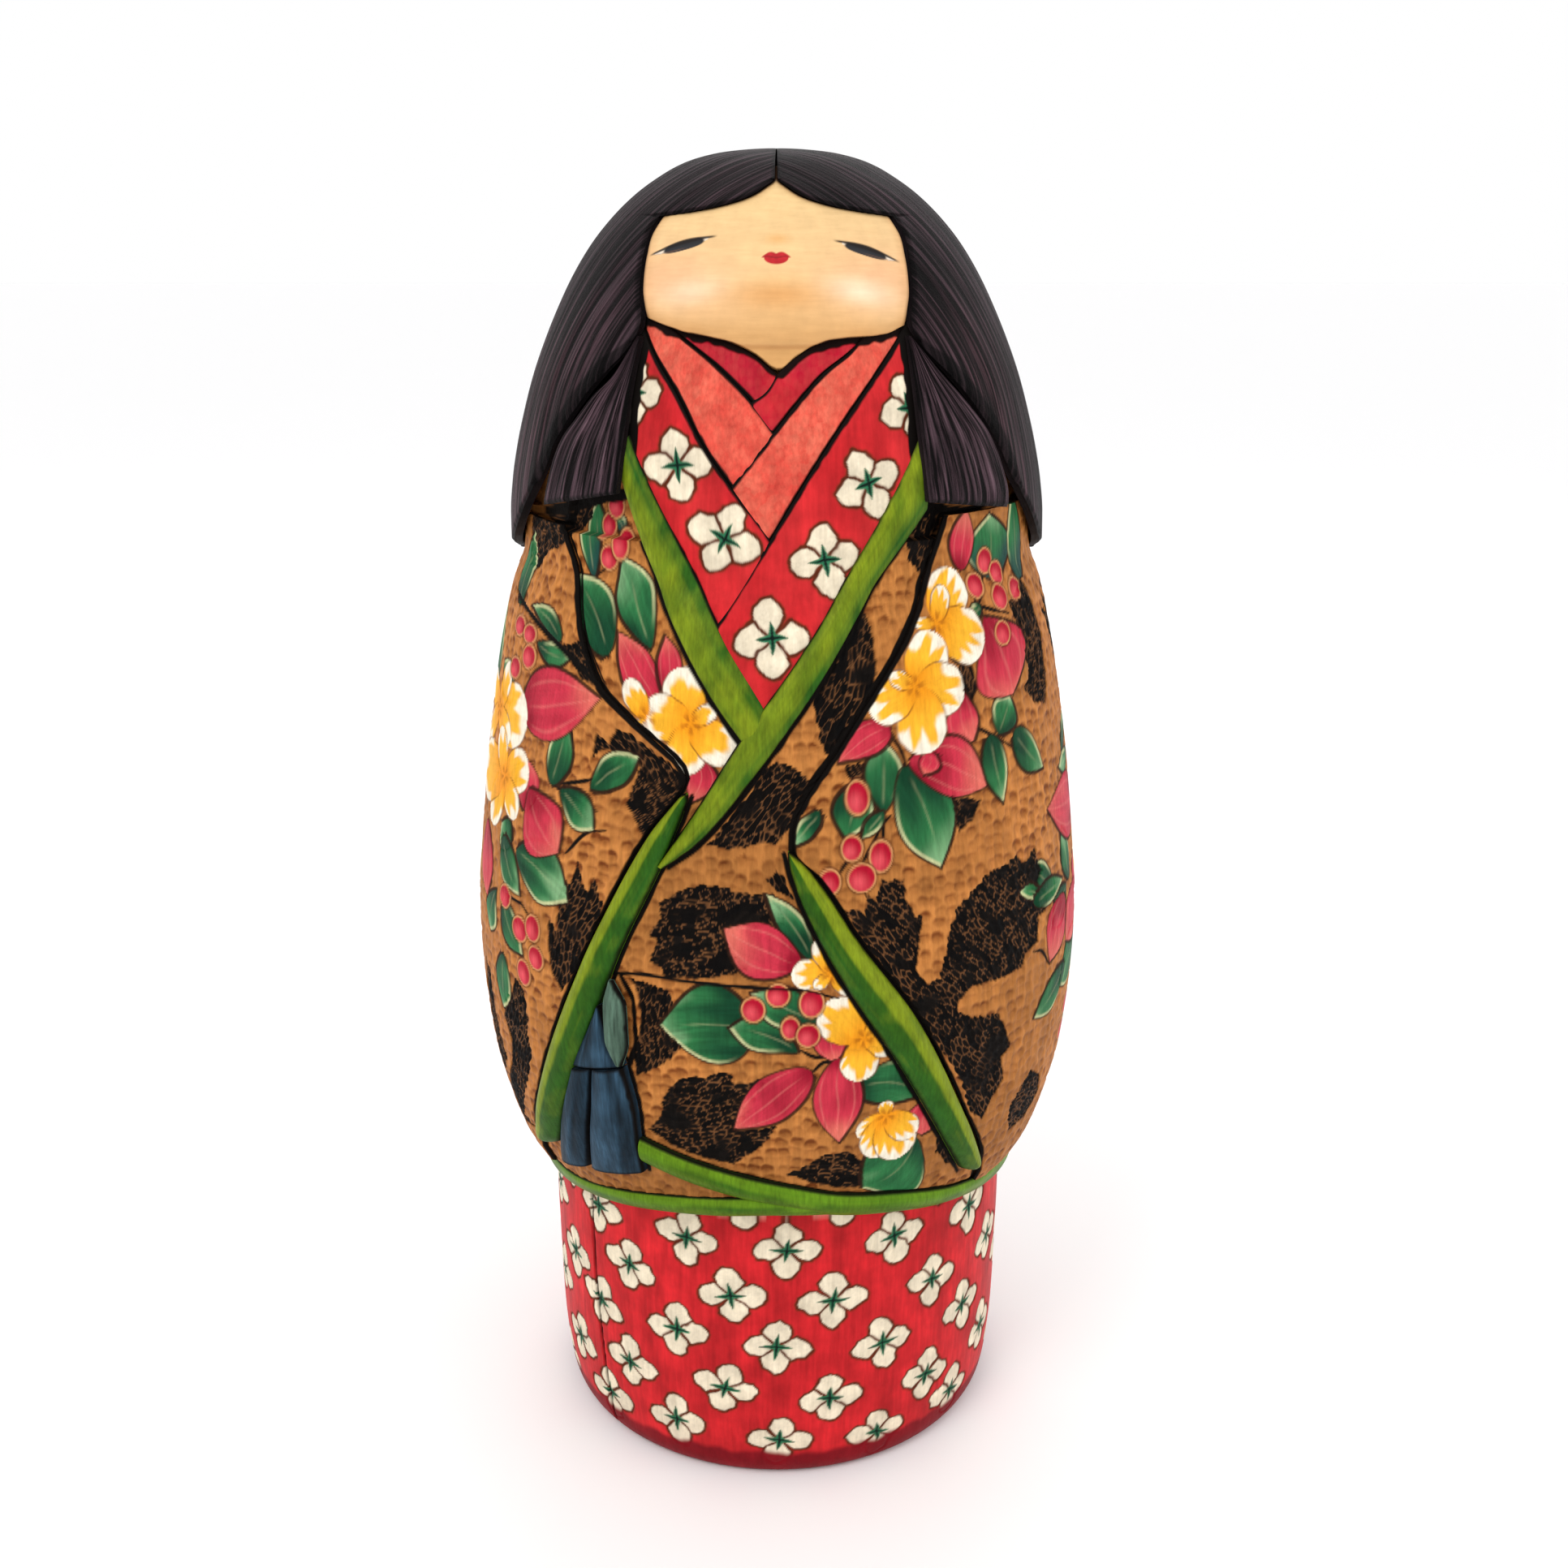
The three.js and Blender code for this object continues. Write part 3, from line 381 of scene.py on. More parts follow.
class Canvas:
    """Paint, carving depth (mm, inward) and dark marks, burnt black and painted shadow, at each vertex of a surface."""

    def __init__(self, angle, height, radius_at=coat_r):
        self.th, self.z = np.asarray(angle, float).ravel(), np.asarray(height, float).ravel()
        self.radius_at = radius_at
        n = len(self.th)
        self.paint = np.zeros((n, 3))
        self.depth, self.ink, self.cover = np.zeros(n), np.zeros(n), np.zeros(n)
        self.s = np.radians(self.th) * FLAT_RADIUS

    def near(self, angle, height, reach):
        """Vertices within reach of a point, and their flat places round it in mm."""
        r = float(self.radius_at(height))
        x, y = np.radians(wrap(self.th - angle)) * r, self.z - height
        k = np.flatnonzero((np.abs(x) < reach) & (np.abs(y) < reach))
        return k, x[k], y[k]

    def near_line(self, p, margin):
        """Vertices near points of (angle, height), their flat places, the points' own, and the reach in mm."""
        mid = p.mean(axis=0)
        r = float(self.radius_at(mid[1]))
        flat = np.stack([np.radians(wrap(p[:, 0] - mid[0])) * r, p[:, 1] - mid[1]], axis=1)
        reach = np.abs(flat).max() + margin
        return (*self.near(mid[0], mid[1], reach), flat, reach)

    def lay(self, k, mask, colour, cover=1.0):
        self.paint[k] = blend(self.paint[k], colour, mask)
        self.cover[k] = np.maximum(self.cover[k] * (1 - mask) + mask * cover, self.cover[k] * (cover > 0))

    # A dark mark: burnt lines and patches, and also painted shadow and shade.
    def dark_mark(self, k, mask, colour=LINE, depth=0.12):
        m = np.clip(mask, 0, 1)
        self.paint[k] = blend(self.paint[k], colour, m)
        self.ink[k] = np.maximum(self.ink[k], m)
        self.depth[k] = np.maximum(self.depth[k], m * depth)

    def tint(self, share, colour):
        """A wash of colour over the whole surface."""
        self.paint[:] = blend(self.paint, colour, share)

    def fill(self, colour, around=0.06, seed=1, scale=0.35):
        n = noise(self.s * scale, self.z * scale * 0.35, seed) - 0.5
        fine = noise(self.s * 2.2, self.z * 0.25, seed + 1) - 0.5
        self.paint[:] = colour * (1 + around * (2 * n + fine))[:, None]

    def stroke(self, points, width, colour=LINE, depth=0.15, taper=True, seed=0, curved=True):
        """A dark line through points of (angle, height): a burnt line, and under the side locks a painted shadow."""
        p = rounded(points, 3 * len(points) + 4) if curved else np.array(points, float)
        k, x, y, flat, reach = self.near_line(p, width + 1)
        if not len(k):
            return
        d, along = line_distance(x, y, flat)
        w = width / 2 * (0.75 + 0.5 * noise(along * reach, 0 * along, seed + 3))
        if taper:
            w = w * (0.45 + 0.55 * arch(along * 0.8 + 0.18))
        self.dark_mark(k, within(d, w), colour, depth)

    def seam(self, line, width, side=0.0, depth=0.25):
        """A broad dark line along an edge of (angle, height), moved sideways by side mm: a burnt line, and along the
        side locks a painted shadow.
        """
        p = rounded(line, 60)
        p = p + np.array([math.degrees(side / 54), 0])
        self.stroke(p, width, BURNT_AND_SHADOW, depth, taper=False, seed=7, curved=False)


def leaf_place(canvas, spec):
    """Vertices near a leaf, how far along it they are, how far across, its half width there, its edge distance."""
    th0, z0, th1, z1, width, bend, peak = spec
    r = float(canvas.radius_at((z0 + z1) / 2))
    dx, dy = math.radians(wrap(th1 - th0)) * r, z1 - z0
    length = math.hypot(dx, dy)
    ex, ey = dx / length, dy / length
    k, x, y = canvas.near(th0, z0, length + width)
    x = x * r / float(canvas.radius_at(z0))
    a, b = (x * ex + y * ey) / length, -x * ey + y * ex
    seed = th0 + z0
    b = b - bend * 4 * a * (1 - a) + 0.25 * (noise(a * 5, 0 * a + seed, 3) - 0.5)
    power = math.log(0.5) / math.log(peak)

    def half(q):
        q = np.clip(q, 0, 1)
        return width / 2 * np.sin(np.pi * q**power) ** (0.62 + 0.4 * q)

    w = half(a)
    lean = (half(a + 0.01) - half(a - 0.01)) / (0.02 * length)
    f = (np.abs(b) - w) / np.sqrt(1 + lean**2)
    beyond = np.maximum(-a, a - 1) * length
    f = np.where(beyond > 0, np.hypot(np.maximum(beyond, 0), b), f)
    return k, a, b, w, f, seed


def paint_leaf(canvas, spec, teal=0.0):
    k, a, b, w, f, seed = leaf_place(canvas, spec)
    if not len(k):
        return
    blot = noise(a * 3 + seed, b * 0.4, 5)
    pick = spread(spec[0] * 0.37, spec[1] * 0.11, 2)
    pale_at = 0.7 + 0.25 * pick
    dark, mid = rgb(16, 64, 40) * (1 - teal) + rgb(34, 74, 70) * teal, rgb(46, 114, 66)
    pale, rim = rgb(140, 184, 134), rgb(210, 208, 156)
    colour = blend(dark, mid, smooth(0.1, 0.75, a + 0.5 * (blot - 0.5) + 0.12 * np.sign(pick - 0.5) * b / (w + 0.4)))
    colour = blend(colour, pale, smooth(pale_at - 0.2, pale_at + 0.25, a + 0.35 * (blot - 0.5)) * 0.85)
    side = smooth(-0.2, 0.3, (b if pick > 0.5 else -b) + 0.5 * (blot - 0.5) + 0.4 * (a - 0.4))
    colour = blend(colour, rim, smooth(-0.85, -0.4, f) * side * smooth(0.15, 0.5, a) * 0.8)
    vein = smooth(0.32, 0.06, np.abs(b)) * smooth(0.08, 0.2, a) * smooth(0.8, 0.55, a) * 0.18
    colour = blend(colour, rim, vein)
    grain = noise(a * 4, b * 4 + seed, 8)
    brush = noise(a * 2 + seed, b * 2.2 - 4 * a, 15)
    colour = colour * (0.74 + 0.24 * grain + 0.3 * brush)[:, None]
    canvas.lay(k, within(f), colour)
    thick = 0.18 + 0.18 * smooth(-0.3, 0.3, -b if pick > 0.5 else b)
    canvas.dark_mark(k, within(np.abs(f - 0.1), thick) * 0.95)


def paint_bract(canvas, spec):
    k, a, b, w, f, seed = leaf_place(canvas, spec)
    if not len(k):
        return
    blot = noise(a * 3 + seed, b * 0.35, 6)
    deep, mid, tip = rgb(150, 18, 42), rgb(202, 52, 72), rgb(224, 112, 98)
    colour = blend(deep, mid, smooth(0.0, 0.5, a + 0.6 * (blot - 0.5)))
    colour = blend(colour, tip, smooth(0.5, 1.05, a + 0.4 * (blot - 0.5)))
    ribs = np.abs(np.sin(b / (w + 0.3) * 5 + 0.6 * blot))
    colour = blend(colour, rgb(240, 150, 136), smooth(0.35, 0.0, ribs) * 0.25 * smooth(0.05, 0.3, a))
    colour = colour * (0.92 + 0.16 * noise(a * 4, b * 5 + seed, 9))[:, None]
    canvas.lay(k, within(f), colour)
    thick = 0.16 + 0.18 * smooth(-0.3, 0.3, b)
    canvas.dark_mark(k, within(np.abs(f - 0.1), thick) * 0.9)


def paint_flower(canvas, angle, height, petals):
    """White petals with an orange throat, each a broad round-tipped leaf from the centre."""
    r = float(canvas.radius_at(height))
    for right, up, full in petals:
        size = math.hypot(right, up)
        spec = (angle, height, angle + math.degrees(right / r), height + up, size * full, 0.0, 0.6)
        k, a, b, w, f, seed = leaf_place(canvas, spec)
        if not len(k):
            continue
        # The end is rounder than a leaf's.
        w = size * full / 2 * np.sqrt(np.clip(1 - ((a - 0.6) / np.where(a > 0.6, 0.4, 0.6)) ** 2, 0, 1))
        f = (np.abs(b) - w * (0.96 + 0.08 * noise(a * 6, b + seed, 4))) * 0.85
        beyond = np.maximum(-a, a - 1) * size
        f = np.where(beyond > 0, np.hypot(np.maximum(beyond, 0), b), f)
        inside = within(f)
        reach = noise(np.arctan2(b, a * size + 0.6) * 9 + seed, 0 * b, 12)
        across = np.abs(b) / (size * full / 2 + 0.1)
        streak = smooth(0.1, -0.06, a - 0.8 - 0.4 * (reach - 0.5) + 0.35 * across**2)
        colour = blend(rgb(250, 240, 220), rgb(252, 184, 48), streak)
        colour = blend(colour, rgb(240, 146, 20), smooth(0.6, 0.0, a) * 0.9)
        colour = colour * (0.93 + 0.14 * noise(a * 3 + seed, b * 3.5, 13))[:, None]
        canvas.lay(k, inside, colour)
        canvas.dark_mark(k, within(np.abs(f), 0.1) * 0.85 * smooth(0.05, 0.3, a), rgb(112, 60, 24))
    k, x, y = canvas.near(angle, height, 2.6)
    d, turn = np.hypot(x, y), np.arctan2(y, x)
    rays = smooth(0.55, 0.9, np.abs(np.sin(turn * 2.5 + height))) * smooth(2.3, 1.2, d) * smooth(0.2, 0.7, d)
    canvas.dark_mark(k, rays * 0.55, rgb(150, 78, 14), 0.05)


def paint_berry(canvas, angle, height, wide, tall):
    k, x, y = canvas.near(angle, height, max(wide, tall) + 1)
    f = (np.hypot(x / wide, y / tall) - 1) * min(wide, tall)
    light = smooth(0.0, 1.1, np.hypot(x / wide + 0.25, y / tall + 0.3))
    colour = blend(rgb(228, 84, 94), rgb(176, 16, 44), light)
    colour = blend(colour, rgb(220, 70, 84), smooth(0.1, -0.9, y / tall) * 0.35)
    canvas.lay(k, smooth(0.42, 0.22, f), rgb(208, 148, 96))
    canvas.dark_mark(k, within(np.abs(f - 0.46), 0.12) * 0.75, rgb(88, 44, 24))
    canvas.lay(k, within(f), colour)


def burn_patch(canvas, points, seed):
    """A burnt leaf shape: ragged edge, short overlapping strokes, and flecks of bare wood between them."""
    k, x, y, flat, _ = canvas.near_line(np.array(points, float), 2)
    if not len(k):
        return
    main = np.linalg.svd(flat - flat.mean(axis=0), full_matrices=False)[2][0]
    turn = math.atan2(main[1], main[0])
    along, across = x * math.cos(turn) + y * math.sin(turn), -x * math.sin(turn) + y * math.cos(turn)
    across = across + 0.5 * np.sin(along * 0.35 + seed)
    first, second, kind = cells(along / 2.1, across / 0.9, seed, jitter=0.8)
    f = polygon_distance(x, y, flat) + 0.75 * (first - 0.42)
    inside = smooth(0.14, -0.14, f)
    here = smooth(0.15, 0.5, noise(x * 0.35, y * 0.35, seed + 2))
    gap = smooth(0.26, 0.04, second - first) * smooth(0.34, 0.62, kind) * here
    canvas.lay(k, inside, blend(BURNT_AND_SHADOW * (0.5 + 1.1 * kind)[:, None], rgb(128, 84, 50), gap * 0.8))
    canvas.ink[k] = np.maximum(canvas.ink[k], inside * (1 - 0.6 * gap))
    cut = inside * (0.1 + 0.3 * smooth(0.75, 0.1, first))
    canvas.depth[k] = np.maximum(canvas.depth[k] * (1 - inside), cut)


def ground(canvas, depth=0.3, pitch=2.25):
    """Gouged coat ground: rows of shallow dimples, dark in the hollow and pale on the ridges, with a painted shadow
    across the upper side of each dimple and painted shade towards the bottom of the coat and below the collar crossing.
    """
    s, z = canvas.s, canvas.z
    turns = round(math.tau * FLAT_RADIUS / pitch)
    x, y = canvas.th / 360 * turns, z / pitch * 1.08
    x, y = x + 0.2 * noise(y * 0.7, x * 0, 3), y + 0.35 * noise(x * 0.5, y * 0.4, 4, turns // 2)
    first, _, kind = cells(x, y, 21, turns, 0.62)
    bowl = np.clip(1 - (first / 0.6) ** 2, 0, 1)
    # Painted shadow on the upper wall of each dimple.
    shaded = bowl * smooth(0.25, 0.62, cells(x, y + 0.3, 21, turns, 0.62)[0])
    broad = noise(s * 0.06, z * 0.07, 31)
    strength = (0.5 * bowl * (0.2 + 0.8 * kind) + 0.85 * shaded * (0.3 + 0.7 * kind)) * (0.45 + 0.8 * broad)
    strength = np.clip(strength * 1.35 * (0.7 + 0.6 * noise(s * 1.1, z * 0.9, 33)), 0, 1)
    grain = noise(s * 1.6, z * 0.22, 41)
    colour = blend(TAN, PIT, strength)
    colour = blend(colour, rgb(188, 118, 58), 0.3 * noise(s * 0.11, z * 0.05, 35))
    # Painted shade: darker towards the bottom of the coat and below the collar crossing.
    low = 0.22 * smooth(84, 64, z) + 0.2 * np.exp(-((canvas.th / 17) ** 2 + ((z - 117) / 13) ** 2))
    canvas.paint[:] = colour * ((0.8 + 0.3 * grain + 0.34 * (broad - 0.5)) * (1 - low))[:, None]
    canvas.dimple = bowl * depth * (0.6 + 0.4 * kind)


def paint_zone(canvas, motifs, seed=0, teal_above=168):
    for n, patch in enumerate(motifs.get("black", ())):
        burn_patch(canvas, patch, seed + n)
    for line in motifs.get("line", ()):
        canvas.stroke(line, 0.62, BURNT_AND_SHADOW)
    for spec in motifs.get("leaf", ()):
        paint_leaf(canvas, spec, 0.7 if spec[1] > teal_above else 0.0)
    for spec in motifs.get("bract", ()):
        paint_bract(canvas, spec)
    for spec in motifs.get("flower", ()):
        paint_flower(canvas, *spec)
    for spec in motifs.get("berry", ()):
        paint_berry(canvas, *spec)


def moved(motifs, turn, rise=0.0, mirror=False, kinds=("black", "leaf", "bract", "berry", "flower", "line")):
    """The same bouquet at another place round the doll."""
    s = -1 if mirror else 1

    def point(p):
        return (s * p[0] + turn, p[1] + rise)

    out = {}
    for kind in kinds:
        rows = motifs.get(kind, ())
        if kind in ("black", "line"):
            out[kind] = tuple(tuple(point(p) for p in row) for row in rows)
        elif kind in ("leaf", "bract"):
            out[kind] = tuple(point(v[:2]) + point(v[2:4]) + (v[4], s * v[5], v[6]) for v in rows)
        elif kind == "berry":
            out[kind] = tuple(point(v[:2]) + tuple(v[2:]) for v in rows)
        else:
            out[kind] = tuple(point(v[:2]) + (tuple((s * x, y, w) for x, y, w in v[2]),) for v in rows)
    return out


PETAL = ((0.05, 0.03), (0.22, 0.15), (0.36, 0.33), (0.5, 0.43), (0.67, 0.41), (0.84, 0.32), (0.96, 0.17), (1.0, 0.02),
         (0.95, -0.15), (0.83, -0.31), (0.66, -0.4), (0.49, -0.43), (0.36, -0.31), (0.22, -0.14))


def star_flower(canvas, angle, height, size, turn=0.0, seed=0, tall=1.0):
    """Four pale petals with burnt brown outlines round a dark green cross, as printed on the kimono."""
    k, x, y = canvas.near(angle, height, size * 0.75)
    if not len(k):
        return
    y = y / tall
    x = x + 0.3 * (noise(x * 0.7 + seed, y * 0.7, 1) - 0.5)
    y = y + 0.3 * (noise(x * 0.7, y * 0.7 + seed, 2) - 0.5)
    half = size / 2
    for n in range(4):
        lean = math.radians(turn + 90 * n + 14 * (float(spread(seed, n, 4)) - 0.5))
        grow = half * (0.92 + 0.16 * float(spread(seed, n, 3)))
        a, b = (x * math.cos(lean) + y * math.sin(lean)) / grow, (-x * math.sin(lean) + y * math.cos(lean)) / half
        shape = [(p * (0.97 + 0.08 * float(spread(seed + n, i, 5))), q * (0.76 + 0.26 * float(spread(seed + n, i, 6))))
                 for i, (p, q) in enumerate(PETAL)]
        f = polygon_distance(a, b, np.array(shape)) * half - 0.12
        rim = 0.22 + 0.3 * noise(x * 1.3 + seed, y * 1.3, 7)
        canvas.lay(k, smooth(rim + 0.55, rim, f) * 0.55, rgb(120, 50, 26))
        canvas.dark_mark(k, smooth(rim + 0.1, rim - 0.14, np.abs(f - 0.14)) * 0.9, rgb(84, 40, 20), 0.12)
        cream = rgb(240, 226, 200) * (0.93 + 0.12 * noise(x * 3, y * 3 + seed, 6))[:, None]
        cream = cream * (1 - 0.16 * smooth(0.45, 0.1, a)[:, None])
        inside = within(f)
        canvas.lay(k, inside, cream)
        canvas.ink[k] *= 1 - inside
    for tint, wide, long in ((rgb(48, 120, 84), 0.6, 0.46), (rgb(12, 30, 24), 0.24, 0.44)):
        for n in range(2):
            lean = math.radians(turn + 90 * n + 14 * (float(spread(seed, n, 8)) - 0.5))
            a, b = x * math.cos(lean) + y * math.sin(lean), -x * math.sin(lean) + y * math.cos(lean)
            a = np.clip(np.abs(a) / (half * (long + 0.1 * float(spread(seed, n, 9)))), 0, 1)
            canvas.lay(k, smooth(0.12, -0.12, np.abs(b) - wide * (1 - a**2)) * (a < 1), tint)


# ---------------------------------------------------------------- meshes
def cartesian(angle, radius, height):
    a = np.radians(angle)
    return np.stack([radius * np.sin(a), -radius * np.cos(a), height], axis=-1)


def make_object(name, points, quads, others, attributes):
    """A mesh object from points in mm, an array of quads and a list of other faces."""
    mesh = bpy.data.meshes.new(name)
    mesh.vertices.add(len(points))
    mesh.vertices.foreach_set("co", (points * MM).astype(np.float32).ravel())
    loops = np.concatenate([quads.ravel()] + [np.array(f) for f in others]).astype(np.int32)
    sizes = np.array([4] * len(quads) + [len(f) for f in others])
    starts = np.concatenate([[0], np.cumsum(sizes)[:-1]]).astype(np.int32)
    mesh.loops.add(len(loops))
    mesh.loops.foreach_set("vertex_index", loops)
    mesh.polygons.add(len(sizes))
    mesh.polygons.foreach_set("loop_start", starts)
    mesh.update(calc_edges=True)
    mesh.validate()
    mesh.polygons.foreach_set("use_smooth", np.ones(len(mesh.polygons), bool))
    mesh.set_sharp_from_angle(angle=math.radians(55))
    for key, kind, values in attributes:
        field = mesh.attributes.new(key, kind, "POINT")
        slot = {"FLOAT": "value", "FLOAT_VECTOR": "vector", "FLOAT_COLOR": "color"}[kind]
        field.data.foreach_set(slot, values.astype(np.float32).ravel())
    obj = bpy.data.objects.new(name, mesh)
    bpy.context.scene.collection.objects.link(obj)
    return obj


def grid_faces(rows, cols, first=0, closed=False, flip=False):
    i = np.arange(rows - 1)[:, None]
    j = np.arange(cols if closed else cols - 1)[None, :]
    k = (j + 1) % cols
    a, b = first + i * cols + j, first + i * cols + k
    c, d = first + (i + 1) * cols + k, first + (i + 1) * cols + j
    quads = np.stack([a, b, c, d], axis=-1).reshape(-1, 4)
    return quads[:, ::-1] if flip else quads


def finish_piece(name, points, quads, others, canvas, extra, nodes, slot, material, strand=None):
    """Adds the paint fields and the material to a new piece, puts it under the root body and hides the CAD nodes it
    stands for.
    """
    n, m = len(canvas.th), len(points)
    paint = np.ones((m, 4))
    paint[:, :3] = extra
    paint[:n, :3] = np.clip(canvas.paint, 0.002, 1)
    ink = np.zeros(m)
    ink[:n] = canvas.ink
    angle = np.degrees(np.arctan2(points[:, 0], -points[:, 1]))
    flat = np.stack([np.radians(angle) * FLAT_RADIUS, points[:, 2], np.hypot(points[:, 0], points[:, 1])], axis=1)
    fields = [("paint", "FLOAT_COLOR", paint), ("ink", "FLOAT", ink), ("flat", "FLOAT_VECTOR", flat)]
    if strand is not None:
        run = np.zeros((m, 3))
        run[:n] = strand
        fields.append(("strand", "FLOAT_VECTOR", run))
    obj = make_object(name, points, quads, others, fields)
    obj.data.materials.append(material)
    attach(obj, "root")
    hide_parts(*nodes)
    return obj


def patch(name, angle, height, radius, inner, canvas, extra, node, slot, material, strand=None, coarse=(12, 12)):
    """A closed solid: a fine outer grid of (rows, columns), a coarse inner face, and walls between them."""
    rows, cols = angle.shape
    outer = cartesian(angle, radius, height).reshape(-1, 3)
    ri = np.unique(np.linspace(0, rows - 1, min(coarse[0], rows)).astype(int))
    ci = np.unique(np.linspace(0, cols - 1, min(coarse[1], cols)).astype(int))
    ia, iz = angle[np.ix_(ri, ci)], height[np.ix_(ri, ci)]
    inside = cartesian(ia, inner(iz), iz).reshape(-1, 3)
    first = rows * cols
    quads = np.concatenate([grid_faces(rows, cols), grid_faces(len(ri), len(ci), first, flip=True)])
    at = lambda r, c: r * cols + c
    back = lambda r, c: first + r * len(ci) + c
    others = []
    for k in range(len(ci) - 1):
        span = range(ci[k], ci[k + 1] + 1)
        others.append([back(0, k), back(0, k + 1)] + [at(0, c) for c in reversed(span)])
        others.append([back(len(ri) - 1, k + 1), back(len(ri) - 1, k)] + [at(rows - 1, c) for c in span])
    for k in range(len(ri) - 1):
        span = range(ri[k], ri[k + 1] + 1)
        others.append([back(k + 1, 0), back(k, 0)] + [at(r, 0) for r in span])
        others.append([back(k, len(ci) - 1), back(k + 1, len(ci) - 1)] + [at(r, cols - 1) for r in reversed(span)])
    points = np.concatenate([outer, inside])
    return finish_piece(name, points, quads, others, canvas, extra, [node], slot, material, strand)


def strip_grid(edges, rows, cols):
    """Angles and heights of a grid between two edge lines, with how far across and along each point is."""
    left, right = (rounded(e, rows)[:, None, :] for e in edges)
    down = left[0, 0, 1] > left[-1, 0, 1]
    if down:
        left, right = left[::-1], right[::-1]
    u = np.linspace(0, 1, cols)[None, :, None]
    grid = left + (right - left) * u
    across = np.broadcast_to(u[..., 0], (rows, cols))
    along = np.broadcast_to(np.linspace(*((1, 0) if down else (0, 1)), rows)[:, None], (rows, cols))
    angle, height = grid[..., 0], grid[..., 1]
    width = np.hypot(np.radians(right[..., 0] - left[..., 0]) * 50, right[..., 1] - left[..., 1])
    return angle, height, across, along, np.broadcast_to(width, (rows, cols))


# ---------------------------------------------------------------- materials
def wood(name, rough=0.45, stretch=(1.6, 0.16, 1.0), vary=0.2, bump=0.12, mottle=0.2, strand=False, specular=0.06,
         light=0.35, span=(0.32, 0.7)):
    """Stained and waxed wood: the painted colour broken up by grain and mottling, with its own gloss and relief."""
    material = bpy.data.materials.new(name)
    material.use_nodes = True
    tree = material.node_tree
    shader = tree.nodes["Principled BSDF"]

    def node(kind, **values):
        n = tree.nodes.new(kind)
        for key, value in values.items():
            if key in n.inputs:
                n.inputs[key].default_value = value
            else:
                setattr(n, key, value)
        return n

    def link(a, out, b, into):
        tree.links.new(a.outputs[out], b.inputs[into])

    def multiply(colour, factor):
        mix = node("ShaderNodeMix", data_type="RGBA", blend_type="MULTIPLY")
        mix.inputs[0].default_value = 1.0
        tree.links.new(colour, mix.inputs[6])
        tree.links.new(factor.outputs["Color"], mix.inputs[7])
        return mix.outputs[2]

    paint = node("ShaderNodeAttribute", attribute_name="paint")
    ink = node("ShaderNodeAttribute", attribute_name="ink")
    place = node("ShaderNodeAttribute", attribute_name="strand" if strand else "flat")
    mapping = node("ShaderNodeMapping", Scale=stretch)
    link(place, "Vector", mapping, "Vector")
    grain = node("ShaderNodeTexNoise", Scale=1.0, Detail=6.0, Roughness=0.62)
    link(mapping, "Vector", grain, "Vector")
    tone = node("ShaderNodeValToRGB")
    tone.color_ramp.elements[0].position, tone.color_ramp.elements[1].position = span
    low, high = 1 - vary, 1 + vary * light
    tone.color_ramp.elements[0].color = (low, low * 0.985, low * 0.96, 1)
    tone.color_ramp.elements[1].color = (high, high, high, 1)
    link(grain, "Fac", tone, "Fac")
    cloud = node("ShaderNodeTexNoise", Scale=0.22, Detail=3.0, Roughness=0.55)
    flat = node("ShaderNodeAttribute", attribute_name="flat")
    link(flat, "Vector", cloud, "Vector")
    wash = node("ShaderNodeValToRGB")
    wash.color_ramp.elements[0].position, wash.color_ramp.elements[1].position = 0.35, 0.68
    wash.color_ramp.elements[0].color = (1 - mottle,) * 3 + (1,)
    wash.color_ramp.elements[1].color = (1 + mottle * 0.3,) * 3 + (1,)
    link(cloud, "Fac", wash, "Fac")
    tree.links.new(multiply(multiply(paint.outputs["Color"], tone), wash), shader.inputs["Base Color"])
    gloss = node("ShaderNodeMapRange")
    gloss.inputs["To Min"].default_value = rough + 0.1
    gloss.inputs["To Max"].default_value = rough - 0.1
    link(grain, "Fac", gloss, "Value")
    dull = node("ShaderNodeMath", operation="MULTIPLY_ADD")
    link(ink, "Fac", dull, 0)
    dull.inputs[1].default_value = 0.22
    link(gloss, "Result", dull, 2)
    link(dull, "Value", shader, "Roughness")
    fine = node("ShaderNodeTexNoise", Scale=3.2, Detail=4.0, Roughness=0.6)
    link(flat, "Vector", fine, "Vector")
    height = node("ShaderNodeMath", operation="ADD")
    link(grain, "Fac", height, 0)
    link(fine, "Fac", height, 1)
    relief = node("ShaderNodeBump", Strength=bump, Distance=0.0004)
    link(height, "Value", relief, "Height")
    link(relief, "Normal", shader, "Normal")
    shader.inputs["Specular IOR Level"].default_value = specular
    return material


M_COAT = wood("stained_coat", rough=0.5, bump=0.25, mottle=0.1)
M_GREEN = wood("green_trim", rough=0.42, stretch=(2.2, 0.3, 1), vary=0.3, specular=0.07)
M_RED = wood("red_stain", stretch=(1.2, 0.12, 1), vary=0.14)
M_CORAL = wood("coral_stain", stretch=(1.4, 0.9, 1), vary=0.24, mottle=0.18)
M_BLUE = wood("blue_stain", rough=0.5, stretch=(2.6, 0.2, 1), vary=0.45, mottle=0.25, specular=0.07)
# In the hair and lock stains the bright thin streaks of the strand grain are painted highlights on the carved strands.
M_HAIR = wood("hair_stain", 0.5, (1.1, 0.03, 1), 0.7, 0.8, 0.1, strand=True, light=7.5, span=(0.47, 0.64))
M_LOCK = wood("lock_stain", 0.5, (0.95, 0.05, 1), 0.7, 0.8, 0.1, strand=True, light=11.0, span=(0.45, 0.62))
M_FACE = wood("waxed_maple", 0.42, (0.12, 1.3, 1), 0.07, 0.05, 0.07, specular=0.15)


